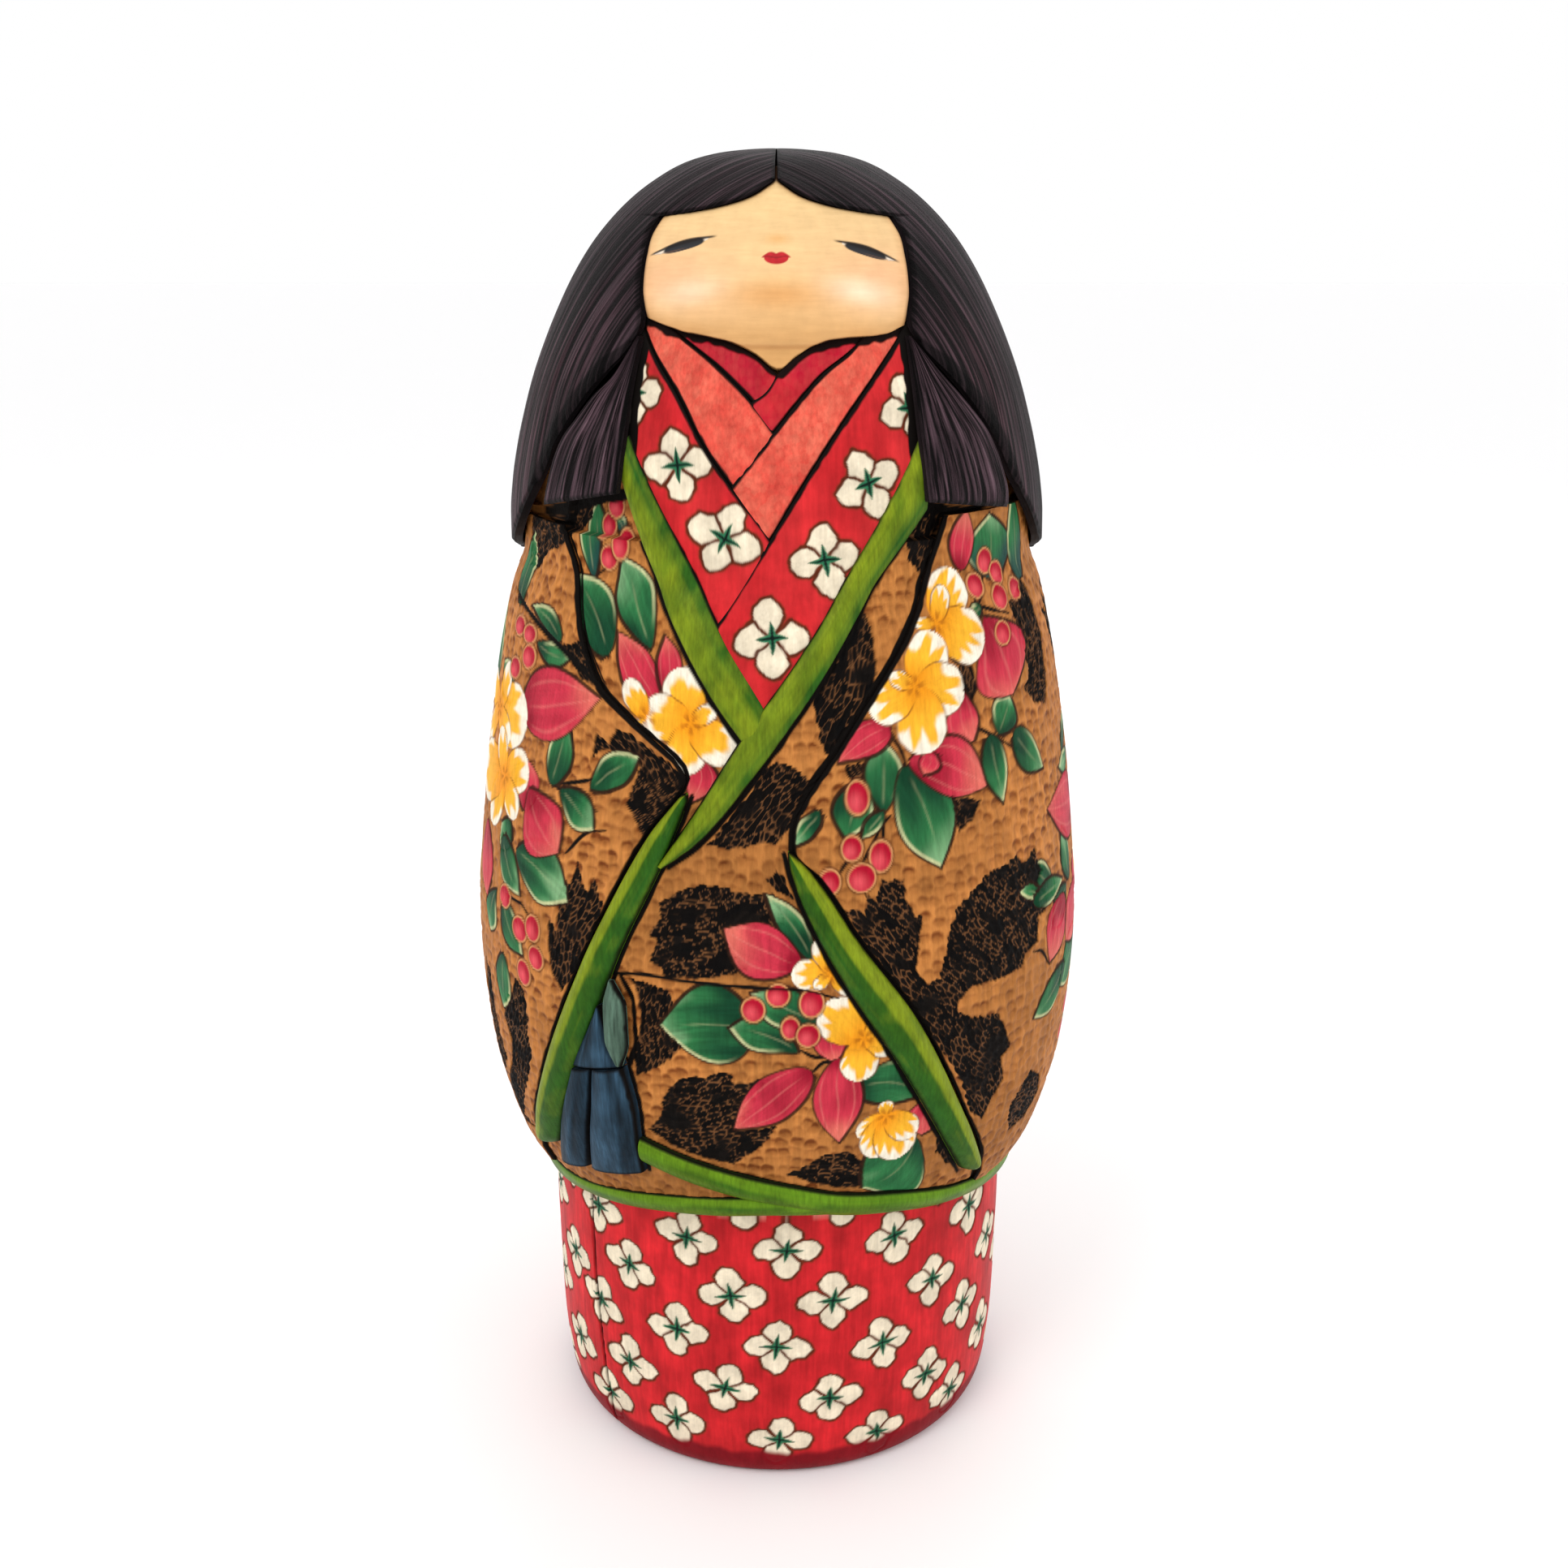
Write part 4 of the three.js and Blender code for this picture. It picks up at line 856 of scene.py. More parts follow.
def bare_wood():
    """Unstained turned dowel: fine lengthwise grain from the piece's own coordinates."""
    material = bpy.data.materials.new("bare_dowel")
    material.use_nodes = True
    nodes, links = material.node_tree.nodes, material.node_tree.links
    shader = nodes["Principled BSDF"]
    place, mapping = nodes.new("ShaderNodeTexCoord"), nodes.new("ShaderNodeMapping")
    mapping.inputs["Scale"].default_value = (900, 900, 60)
    grain, tone = nodes.new("ShaderNodeTexNoise"), nodes.new("ShaderNodeValToRGB")
    grain.inputs["Scale"].default_value, grain.inputs["Detail"].default_value = 1.0, 5.0
    tone.color_ramp.elements[0].color = (*rgb(176, 136, 88), 1)
    tone.color_ramp.elements[1].color = (*rgb(226, 194, 146), 1)
    relief = nodes.new("ShaderNodeBump")
    relief.inputs["Strength"].default_value, relief.inputs["Distance"].default_value = 0.2, 0.0003
    links.new(place.outputs["Object"], mapping.inputs["Vector"])
    links.new(mapping.outputs["Vector"], grain.inputs["Vector"])
    links.new(grain.outputs["Fac"], tone.inputs["Fac"])
    links.new(tone.outputs["Color"], shader.inputs["Base Color"])
    links.new(grain.outputs["Fac"], relief.inputs["Height"])
    links.new(relief.outputs["Normal"], shader.inputs["Normal"])
    shader.inputs["Roughness"].default_value = 0.6
    return material


M_BARE = bare_wood()

C_GREEN, C_RED, C_CORAL, C_CRIMSON = rgb(84, 130, 24), rgb(202, 36, 42), rgb(230, 94, 76), rgb(180, 24, 48)
C_BLUE, C_KNOT, C_FACE = rgb(42, 66, 84), rgb(86, 112, 96), rgb(236, 198, 143)
# The near-black of the burnt hair edges, also used for painted shade along the side locks.
C_HAIR, C_BURN_AND_SHADOW = rgb(25, 17, 20), rgb(9, 6, 7)


# ---------------------------------------------------------------- carved strips
def relief_strip(name, edges, rows, cols, lift, base, painter, node, slot, material, extra, bevel=0.35):
    """A raised strip between two edge lines: lift(u, t) is its height over the coat, base the depth of its foot."""
    angle, height, u, t, width = strip_grid(edges, rows, cols)
    canvas = Canvas(angle, height)
    canvas.u, canvas.t, canvas.w = u.ravel(), t.ravel(), width.ravel()
    painter(canvas)
    top = lift(canvas.u, canvas.t)
    edge = np.minimum(canvas.u, 1 - canvas.u) * canvas.w
    bevel = bevel * (1 - smooth(0, 0.45, edge)) ** 2
    radius = (coat_r(canvas.z) + top - bevel - canvas.depth).reshape(angle.shape)
    return patch(name, angle, height, radius, lambda z: coat_r(z) - base, canvas, extra, node, slot, material,
                 coarse=(max(6, rows // 8), 8))


def border(canvas, left, right):
    """Burnt lines along both edges of a strip, in mm of its own width."""
    for reach, d in ((left, canvas.u * canvas.w), (right, (1 - canvas.u) * canvas.w)):
        ragged = reach * (0.8 + 0.4 * noise(canvas.z * 0.9, canvas.s * 0.2, 17))
        canvas.dark_mark(ALL, within(d, ragged), BURNT_AND_SHADOW, 0.1)


def green(canvas, flip=False, facet_light=0.5, ridge=0.45):
    u = 1 - canvas.u if flip else canvas.u
    long = noise(canvas.t * 26, canvas.u * 2.2, 51)
    streak = noise(canvas.t * 9, canvas.u * 14, 52)
    bright, deep = rgb(130, 148, 28), rgb(50, 92, 16)
    # Painted light: one side of the ridge lighter and the other darker, as lit and shaded facets.
    m = np.clip(0.5 + facet_light * (smooth(ridge - 0.07, ridge + 0.07, u) - 0.5) * 1.5 + 0.7 * (long - 0.5)
                + 0.35 * (streak - 0.5), 0, 1)
    canvas.paint[:] = blend(bright, deep, m)
    canvas.tint(0.5 * noise(canvas.t * 7, canvas.u * 3, 53) * smooth(0.3, 0.9, u), rgb(30, 98, 36))


def bead_lift(ridge):
    def lift(u, t):
        side = np.where(u < ridge, u / ridge, (1 - u) / (1 - ridge))
        body = 1.75 * (1 - (1 - side) ** 2.4)
        end = np.sqrt(np.clip(1 - (1 - smooth(0, 0.035, np.minimum(t, 1 - t))) ** 2, 0, 1))
        return -0.25 + body * (0.35 + 0.65 * end)
    return lift


def tapered(edges, at_start, at_end, count=160):
    """Edge lines that close to a rounded end over the given lengths in mm."""
    left, right = rounded(edges[0], count), rounded(edges[1], count)
    middle = (left + right) / 2
    gone = np.concatenate([[0], np.cumsum(np.hypot(*(np.diff(middle, axis=0) * (0.9, 1)).T))])
    narrow = np.ones(count)
    for length, d in ((at_start, gone), (at_end, gone[-1] - gone)):
        if length:
            narrow *= np.clip(1 - (1 - np.clip((d + 0.06) / length, 0, 1)) ** 2.2, 0, 1) ** 0.5
    narrow = narrow[:, None]
    return middle + (left - middle) * narrow, middle + (right - middle) * narrow


def paint_bead(flip):
    def painter(canvas):
        green(canvas, flip, 0.75)
        border(canvas, 0.22, 0.22)
    return painter


relief_strip("bead_left", tapered(BEAD_L, 1.2, 3.2), 230, 26, bead_lift(0.42), 1.1, paint_bead(False),
             "sleeve_bead_left", "trim_green", M_GREEN, C_GREEN)
relief_strip("bead_right", tapered(BEAD_R, 3.2, 3.4), 220, 26, bead_lift(0.55), 1.1, paint_bead(True),
             "sleeve_bead_right", "trim_green", M_GREEN, C_GREEN)


def crowned(low, high, power=2.2):
    return lambda u, t: low + (high - low) * crown(u, power)


def paint_collar(canvas):
    green(canvas, False, 0.3, 0.7)
    border(canvas, 0.32, 0.36)


relief_strip("coat_collar_right", COLLAR_R, 300, 30, crowned(-0.35, 0.55), 2.6, paint_collar,
             "coat_collar_right", "trim_green", M_GREEN, C_GREEN)
relief_strip("coat_collar_left", COLLAR_L, 200, 30, crowned(-0.6, 0.25), 2.6, paint_collar,
             "coat_collar_left", "trim_green", M_GREEN, C_GREEN)


def neckline(canvas):
    """The ragged burnt line where the collars meet the chin and the neck, and painted shade on the collars beside the
    side locks.
    """
    low = curve(NECK)(np.clip(canvas.th, -35, 33)) - canvas.z
    ragged = 0.7 + 0.6 * (noise(canvas.s * 0.6, canvas.s * 0, 19) - 0.5)
    canvas.dark_mark(ALL, smooth(ragged + 0.15, ragged - 0.2, low), rgb(22, 9, 7), 0.25)
    # Painted shade: black on the collars beyond the side locks' inner edges.
    canvas.dark_mark(ALL, np.maximum(smooth(31.4, 32.2, canvas.th), smooth(-33.0, -33.8, canvas.th)), BURNT_AND_SHADOW, 0)


STARS_L = ((-33.2, 200.9, 10.6, 8), (-20.9, 190.1, 11.2, 12), (-10.4, 179.0, 11.6, -22))
STARS_R = ((30.2, 198.8, 10.6, 12), (19.3, 187.4, 10.8, 18), (9.9, 175.6, 11.4, 8), (-0.8, 163.8, 11.6, 6))


def paint_outer(stars, seed):
    def painter(canvas):
        canvas.fill(C_RED, 0.16, seed)
        canvas.tint(smooth(2.6, 0.2, (1 - canvas.u) * canvas.w) * 0.35, rgb(160, 20, 34))
        canvas.tint(noise(canvas.s * 0.25, canvas.z * 0.12, seed + 2) * 0.4, rgb(220, 62, 62))
        for n, (angle, height, size, turn) in enumerate(stars):
            star_flower(canvas, angle, height, size, turn, seed + n)
        border(canvas, 0.6, 0.45)
        neckline(canvas)
        # Painted shadow of each side lock along its inner edge on the red collar.
        for side, shift in ((LOCK_L[1], 0.5), (LOCK_R[0], -0.5)):
            canvas.seam(side, 2.0, shift, 0.1)
    return painter


def paint_plain(colour, dapple, seed, depth=0.0, pitch=1.5):
    def painter(canvas):
        canvas.fill(colour, 0.1, seed)
        first, _, kind = cells(canvas.s / pitch, canvas.z / pitch, seed, jitter=0.8)
        bowl = np.clip(1 - (first / 0.6) ** 2, 0, 1)
        canvas.tint(dapple * (0.35 * bowl + 0.65 * (kind - 0.3)), rgb(246, 140, 112))
        canvas.tint(noise(canvas.s * 0.2, canvas.z * 0.16, seed + 4) * 0.45, rgb(212, 48, 48))
        canvas.depth[:] = bowl * depth
        border(canvas, 0.65, 0.4)
        neckline(canvas)
    return painter


for piece, edges, size, low, painter, node, slot, material in (
        ("outer_collar_right", OUTER_R, (250, 90), -0.6, paint_outer(STARS_R, 61),
         "collar_outer_right", "kimono_red", M_RED),
        ("outer_collar_left", OUTER_L, (270, 70), -0.85, paint_outer(STARS_L, 71),
         "collar_outer_left", "kimono_red", M_RED),
        ("middle_collar_right", MIDDLE_R, (150, 50), -1.1, paint_plain(C_CORAL, 0.5, 81, 0.1),
         "collar_middle_right", "collar_coral", M_CORAL),
        ("middle_collar_left", MIDDLE_L, (130, 50), -1.35, paint_plain(C_CORAL, 0.5, 82, 0.1),
         "collar_middle_left", "collar_coral", M_CORAL),
        ("inner_collar_right", INNER_R, (110, 36), -1.6, paint_plain(C_CRIMSON, 0.12, 83),
         "collar_inner_right", "collar_crimson", M_RED),
        ("inner_collar_left", INNER_L, (100, 36), -1.85, paint_plain(C_CRIMSON, 0.12, 84),
         "collar_inner_left", "collar_crimson", M_RED)):
    relief_strip(piece, edges, *size, crowned(low, low + 0.15, 4), 3.0, painter, node, slot, material, BURNT_AND_SHADOW, 0.1)


# ---------------------------------------------------------------- hem bands, the right front's over the left's
def raised_line(points, rise):
    return tuple((a, z + rise) for a, z in points)


HEM_RIGHT = HEM_OVERLAP + tuple(p for p in HEM if 12 < p[0] < 180) + ((179.8, 48.6),)
HEM_LEFT = ((-179.8, 48.6),) + tuple(p for p in HEM if -180 < p[0] <= 0) + ((7, 60.8), (14, 60.4))


def hem_band(name, line, height, low, high, node):
    cols = 26
    foot = rounded(line, 420)
    angle = np.broadcast_to(foot[:, 0][None, :], (cols, len(foot)))
    u = np.broadcast_to(np.linspace(0, 1, cols)[:, None], angle.shape)
    z = foot[:, 1][None, :] + height * u
    canvas = Canvas(angle, z)
    canvas.u, canvas.t = u.ravel(), np.radians(canvas.th) * 0.28
    canvas.w = np.full(len(canvas.th), height)
    green(canvas, False, 0.15)
    # Painted light: the band's upper side lighter and its lower side darker.
    high_side = smooth(0.35, 0.75, canvas.u + 0.5 * (noise(canvas.t * 40, canvas.u * 2, 57) - 0.5))
    canvas.paint[:] = canvas.paint * 0.4 + blend(rgb(54, 102, 14), rgb(106, 152, 24), high_side) * 0.6
    canvas.dark_mark(ALL, smooth(0.36, 0.12, (1 - canvas.u) * height), BURNT_AND_SHADOW, 0.1)
    canvas.dark_mark(ALL, smooth(0.25, 0.05, canvas.u * height) * 0.8, LINE, 0.05)
    top = low + (high - low) * crown(canvas.u, 2.4)
    radius = np.maximum(coat_r(canvas.z) + top - canvas.depth, HEM_LEAST).reshape(angle.shape)
    return patch(name, angle, z, radius, lambda q: np.full_like(q, SOCKET), canvas, C_GREEN, node, "trim_green",
                 M_GREEN, coarse=(3, 60))


hem_band("hem_right", HEM_RIGHT, HEM_HEIGHT, -0.7, 0.45, "hem_band_right")
hem_band("hem_left", HEM_LEFT, HEM_HEIGHT - 0.6, -0.9, 0.1, "hem_band_left")


# ---------------------------------------------------------------- tassel: loop, cap and a grooved skirt in two lobes
TASSEL_SPLIT = 0.42


def paint_knot(canvas):
    canvas.fill(C_KNOT, 0.3, 91, 0.8)
    fine = noise(canvas.u * 9, canvas.t * 4, 92)
    canvas.paint *= (0.75 + 0.5 * fine)[:, None]
    border(canvas, 0.25, 0.35)


def paint_blue(groove):
    def painter(canvas):
        canvas.fill(C_BLUE, 0.3, 93, 0.6)
        lines = noise(canvas.u * 15, canvas.t * 1.5, 94)
        # Painted light: lighter on the raised strands and darker in the grooves between them.
        canvas.paint *= (0.35 + 1.2 * lines)[:, None]
        canvas.depth[:] = groove * (1 - lines)
        canvas.dark_mark(ALL, smooth(0.03, 0.0, np.minimum(canvas.t, 1 - canvas.t)) * 0.8, BURNT_AND_SHADOW, 0.1)
        border(canvas, 0.35, 0.35)
    return painter


relief_strip("tassel_loop", KNOT, 90, 30, lambda u, t: 0.4 + 1.6 * crown(u, 2) * arch(t * 0.9 + 0.06) ** 0.5,
             -0.1, paint_knot, "tassel_knot", "knot_green", M_BLUE, C_KNOT)
relief_strip("tassel_top", CAP, 80, 50, crowned(0.1, 1.0, 2.5), 1.6, paint_blue(0.15),
             "tassel_cap", "tassel_blue", M_BLUE, C_BLUE)


def tassel_lift(u, t):
    lobe = np.where(u < TASSEL_SPLIT, u / TASSEL_SPLIT, (u - TASSEL_SPLIT) / (1 - TASSEL_SPLIT))
    return 0.2 + 1.35 * np.clip(crown(lobe, 3), 0, 1) - 1.3 * smooth(0.035, 0.0, np.abs(u - TASSEL_SPLIT))


def paint_tassel(canvas):
    paint_blue(0.3)(canvas)
    canvas.dark_mark(ALL, smooth(0.045, 0.02, np.abs(canvas.u - TASSEL_SPLIT)), BURNT_AND_SHADOW, 0.0)


relief_strip("tassel_strands", TASSEL, 130, 110, tassel_lift, 1.8, paint_tassel,
             "tassel_skirt", "tassel_blue", M_BLUE, C_BLUE)


# ---------------------------------------------------------------- sleeves
LEFT_BUNCH, RIGHT_BUNCH = MOTIFS["sleeve_left"], MOTIFS["sleeve_right"]
NO_LINES = ("leaf", "bract", "berry", "flower")
BIG_PATCH = {"black": (MOTIFS["sleeve_right"]["black"][4],)}
UNDER_LOCK = {"black": (((-68, 180.8), (-53.2, 182.7), (-45.4, 183.4), (-46.1, 180.3), (-50, 177.6), (-59.3, 173.7),
                         (-62.5, 170.5), (-66.2, 174.3), (-68.4, 178.2)),)}


def sleeve(name, front, side, rows, cols, node, bunches, seed):
    """A sleeve from its front edge round to the back, level with the coat's profile."""
    heights = np.linspace(57.5, 181.5 if side > 0 else 178.8, rows)
    edge = front(heights)
    u = np.linspace(0, 1, cols) ** 1.25  # finer near the front edge
    angle = edge[:, None] + (side * SLEEVE_BACK - edge[:, None]) * u[None, :]
    z = np.broadcast_to(heights[:, None], angle.shape)
    if side < 0:
        angle = angle[:, ::-1]
    canvas = Canvas(angle, z)
    ground(canvas)
    for motifs in bunches:
        paint_zone(canvas, motifs, seed)
    gap = np.abs(canvas.th - front(canvas.z)) * np.radians(1) * coat_r(canvas.z)
    slope = np.abs(front(canvas.z + 0.5) - front(canvas.z - 0.5)) * np.radians(1) * 54
    gap = gap / np.sqrt(1 + slope**2)
    reach = np.where(canvas.z > 136, 0.55, 0.35) * (0.8 + 0.4 * noise(canvas.z * 0.8, canvas.z * 0, 5))
    canvas.dark_mark(ALL, within(gap, reach), BURNT_AND_SHADOW, 0.1)
    if side < 0:
        canvas.stroke(FOLD, 0.9, BURNT_AND_SHADOW, 0.35)
    back = (SLEEVE_BACK - np.abs(canvas.th)) * np.radians(1) * 54
    canvas.dark_mark(ALL, smooth(0.75, 0.4, back), BURNT_AND_SHADOW, 0.1)
    bevel = 0.4 * (1 - smooth(0, 0.6, np.minimum(gap, back))) ** 2
    carve = canvas.dimple * (1 - np.clip(canvas.cover, 0, 1)) * (1 - canvas.ink)
    radius = (coat_r(canvas.z) - 0.02 - bevel - carve - canvas.depth).reshape(angle.shape)
    return patch(name, angle, z, radius, lambda q: coat_r(q) - 0.97, canvas, BURNT_AND_SHADOW, node, "coat_brown", M_COAT,
                 coarse=(40, 40))


sleeve("sleeve_shell_left", sleeve_l, -1, 420, 380, "sleeve_left",
       (UNDER_LOCK, moved(BIG_PATCH, -68, 30, True), moved(BIG_PATCH, -72, -14, True),
        moved(RIGHT_BUNCH, -78, -22, True, NO_LINES), LEFT_BUNCH), 11)
sleeve("sleeve_shell_right", sleeve_r, 1, 420, 380, "sleeve_right",
       (moved(LEFT_BUNCH, 26, -24, True, NO_LINES), moved(BIG_PATCH, 62, 42), RIGHT_BUNCH,
        moved(BIG_PATCH, 66, -12)), 12)


# ---------------------------------------------------------------- coat body
def tuck_depth(canvas):
    """The lower front steps back under the tuck line."""
    line = curve(TUCK)(canvas.th)
    below = smooth(0.35, -0.35, canvas.z - line)
    sides = smooth(-34, -31, canvas.th) * smooth(14, 11.5, canvas.th * (canvas.z > 95))
    return 0.45 * below * sides * smooth(60, 75, canvas.z)


def coat_body():
    rows, front, side, back = 420, 380, 24, 190
    v = np.linspace(0, 1, rows)
    nominal = 54 + 142 * v
    low, high = sleeve_l(np.maximum(nominal, 58)) - 2, sleeve_r(np.maximum(nominal, 58)) + 2
    flat_u = lambda n: np.arange(n) / n
    angle = np.concatenate([
        low[:, None] + (high - low)[:, None] * flat_u(front)[None, :],
        high[:, None] + (SLEEVE_BACK - 2 - high)[:, None] * flat_u(side)[None, :],
        np.broadcast_to((SLEEVE_BACK - 2 + (360 - 2 * SLEEVE_BACK + 4) * flat_u(back))[None, :], (rows, back)),
        (360 - SLEEVE_BACK + 2) + (low + SLEEVE_BACK - 2)[:, None] * flat_u(side)[None, :]], axis=1)
    foot = hem_foot(wrap(angle)) + 1.0
    z = nominal[:, None] + (foot - 54) * (1 - v[:, None]) ** 3
    canvas = Canvas(wrap(angle), z)
    ground(canvas)
    for motifs, seed in (
            (MOTIFS["chest_left"], 31), (UNDER_LOCK, 38), (MOTIFS["chest_right"], 32), (MOTIFS["front"], 33),
            (moved(BIG_PATCH, 142, -12), 34), (moved(BIG_PATCH, -156, 30, True), 35),
            (moved(RIGHT_BUNCH, 148, -8, False, NO_LINES), 36), (moved(LEFT_BUNCH, -128, -40, True, NO_LINES), 37)):
        paint_zone(canvas, motifs, seed)
    canvas.stroke(TUCK, 0.7, BURNT_AND_SHADOW, 0.2)
    # Painted shade: the coat is black where it shows through the gaps behind the side locks and the hair.
    hidden = smooth(189, 191, canvas.z) * smooth(31, 32, np.abs(canvas.th)) * (np.abs(canvas.th) < 70)
    canvas.dark_mark(ALL, hidden, BURNT_AND_SHADOW, 0)
    # Painted shadows under the side locks' lower edges.
    canvas.stroke(((-57, 181.2), (-41.4, 183.9), (-33, 185.2)), 1.8, BURNT_AND_SHADOW, 0.1, taper=False)
    canvas.stroke(((31.4, 184), (41.2, 182), (56, 181.2)), 1.6, BURNT_AND_SHADOW, 0.1, taper=False)
    for line, width, shift in (
            (SLEEVE_L, 0.8, 0.2), (SLEEVE_R, 1.3, -0.3), (BEAD_L[1], 1.0, 0.25), (BEAD_R[0], 1.0, -0.25),
            (COLLAR_L[0], 1.0, -0.25), (COLLAR_R[1], 1.0, 0.25), (KNOT[1], 1.0, 0.3), (CAP[1], 1.0, 0.3),
            (TASSEL[1], 1.2, 0.3), (TASSEL[0], 1.2, -0.3), (CAP[0], 1.0, -0.3),
            (raised_line(HEM_RIGHT[:-1], HEM_HEIGHT), 0.7, 0)):
        canvas.seam(line, width, shift)
    carve = canvas.dimple * (1 - np.clip(canvas.cover, 0, 1)) * (1 - canvas.ink)
    # The seat of the collars and locks is sunk. Above each sleeve the coat comes up to the sleeve's level.
    shoulder = np.where(canvas.z > 178, 44, 0)
    left, right = (curve([(h, a) for a, h in line])(canvas.z) for line in (COLLAR_L[0], COLLAR_R[1]))
    seat = (canvas.z > 147) & (canvas.th > np.minimum(left, right) + 2 - shoulder) & (canvas.th < right - 2 + shoulder)
    seat |= (canvas.z > 190.5) & (np.abs(canvas.th) < 60)
    over_left = smooth(178.8, 179.1, canvas.z) * smooth(-52, -54, canvas.th)
    over_right = smooth(181.5, 181.8, canvas.z) * smooth(38, 40, canvas.th)
    level = 0.95 * np.maximum(over_left, over_right) * smooth(192, 188, canvas.z)
    radius = coat_r(canvas.z) - 1.0 + level - carve - canvas.depth - tuck_depth(canvas)
    radius = (radius - 1.7 * seat).reshape(z.shape)
    cols = angle.shape[1]
    outer = cartesian(angle, radius, z).reshape(-1, 3)
    socket = cartesian(angle[0], np.full(cols, SOCKET), z[0])
    roof = cartesian(angle[0], np.full(cols, SOCKET), np.full(cols, SOCKET_TOP))
    points = np.concatenate([outer, socket, roof])
    n = rows * cols
    quads = [grid_faces(rows, cols, closed=True)]
    j, k = np.arange(cols), (np.arange(cols) + 1) % cols
    quads.append(np.stack([n + j, n + k, k, j], axis=1))
    quads.append(np.stack([n + cols + j, n + cols + k, n + k, n + j], axis=1))
    others = [list(range((rows - 1) * cols, n)), list(range(n + 2 * cols - 1, n + cols - 1, -1))]
    return finish_piece("coat_block", points, np.concatenate(quads), others, canvas, TAN, ["coat_body"],
                        "coat_brown", M_COAT)


coat_body()


# ---------------------------------------------------------------- skirt
def lathe(name, heights, angles, radius, canvas, extra, nodes, slot, material):
    """A solid turned block from a full grid of radii."""
    rows, cols = len(heights), len(angles)
    grid_a = np.broadcast_to(angles[None, :], (rows, cols))
    grid_z = np.broadcast_to(heights[:, None], (rows, cols))
    points = cartesian(grid_a, radius, grid_z).reshape(-1, 3)
    n = rows * cols
    others = [list(range(n - cols, n)), list(range(cols - 1, -1, -1))]
    quads = grid_faces(rows, cols, closed=True)
    return finish_piece(name, points, quads, others, canvas, extra, nodes, slot, material)


STARS_FRONT = (
    (-7.6, 60), (15.5, 60), (42.1, 58), (67, 57), (-48.4, 50.5), (-21.4, 51.1), (2.3, 50.3), (28.6, 50), (54.6, 48.2),
    (-38, 41.4), (-10.9, 40.3), (13.3, 39.1), (40.6, 37.4), (66.9, 36.7), (-49.2, 29.7), (-24.6, 31), (-0.2, 29.9),
    (26.1, 27.6), (53.2, 26.9), (-39.1, 19.5), (-12.5, 20.2), (12.7, 17.9), (39.6, 16.4), (65.4, 16.4), (-47.7, 8.8),
    (-25.6, 10.6), (0.5, 9), (25.6, 7.4), (50.5, 8.2))


def skirt():
    angles = np.concatenate([np.linspace(-104, 104, 600, endpoint=False), np.linspace(104, 256, 230, endpoint=False)])
    heights = np.concatenate([(0, 0.35, 0.8), np.linspace(1.2, 56, 190), (62,)])
    angle, z = np.meshgrid(wrap(angles), heights)
    canvas = Canvas(angle, z, skirt_r)
    canvas.fill(C_RED, 0.2, 101, 0.3)
    streak = noise(canvas.s * 0.9, canvas.z * 0.08, 102)
    canvas.paint *= (0.9 + 0.2 * streak)[:, None]
    places = list(STARS_FRONT)
    for n in range(18):  # the lower layer's flowers, from the overlap round the back to the right side
        column = (15.8, 35.5, 55.5) if n % 2 == 0 else (5.5, 25.6, 45.5)
        places += [(wrap(-61.5 - 12.77 * n), height + 4 * n / 17) for height in column]
    for n, (place, height) in enumerate(places):
        star_flower(canvas, place, height, 12.0 + 0.7 * (float(spread(n, 1, 9)) - 0.5),
                    16 * (float(spread(n, 2, 7)) - 0.5) - 4, n, 0.88)
    # Painted shade: darker red along the rounded bottom edge.
    rim = smooth(6.6, 5.0, canvas.z + 1.2 * (noise(canvas.s * 0.3, canvas.z * 0, 103) - 0.5))
    canvas.tint(rim, rgb(132, 14, 26))
    line = np.abs(canvas.th - curve(OVERLAP)(canvas.z)) * np.radians(1) * 45
    canvas.dark_mark(ALL, smooth(0.5, 0.22, line), BURNT_AND_SHADOW, 0.55)
    radius = (skirt_r(canvas.z) - canvas.depth).reshape(z.shape)
    lathe("skirt_turned", heights, angles, radius, canvas, C_RED, ["skirt_block"], "kimono_red", M_RED)


skirt()


# ---------------------------------------------------------------- head
EYES = ((-37.4, 222.2, -18.4, 225.0, -26.6, 224.0), (35.4, 221.2, 17.6, 224.3, 26.0, 223.2))


FACE_SLOPE = 1.24  # length along the leaning face for each mm of height
LIP_HALF = 2.35


def face_place(canvas, angle, height):
    """Flat places on the sloping face round a point, in mm along the surface."""
    k, x, y = canvas.near(angle, height, 14)
    return k, x, y * FACE_SLOPE


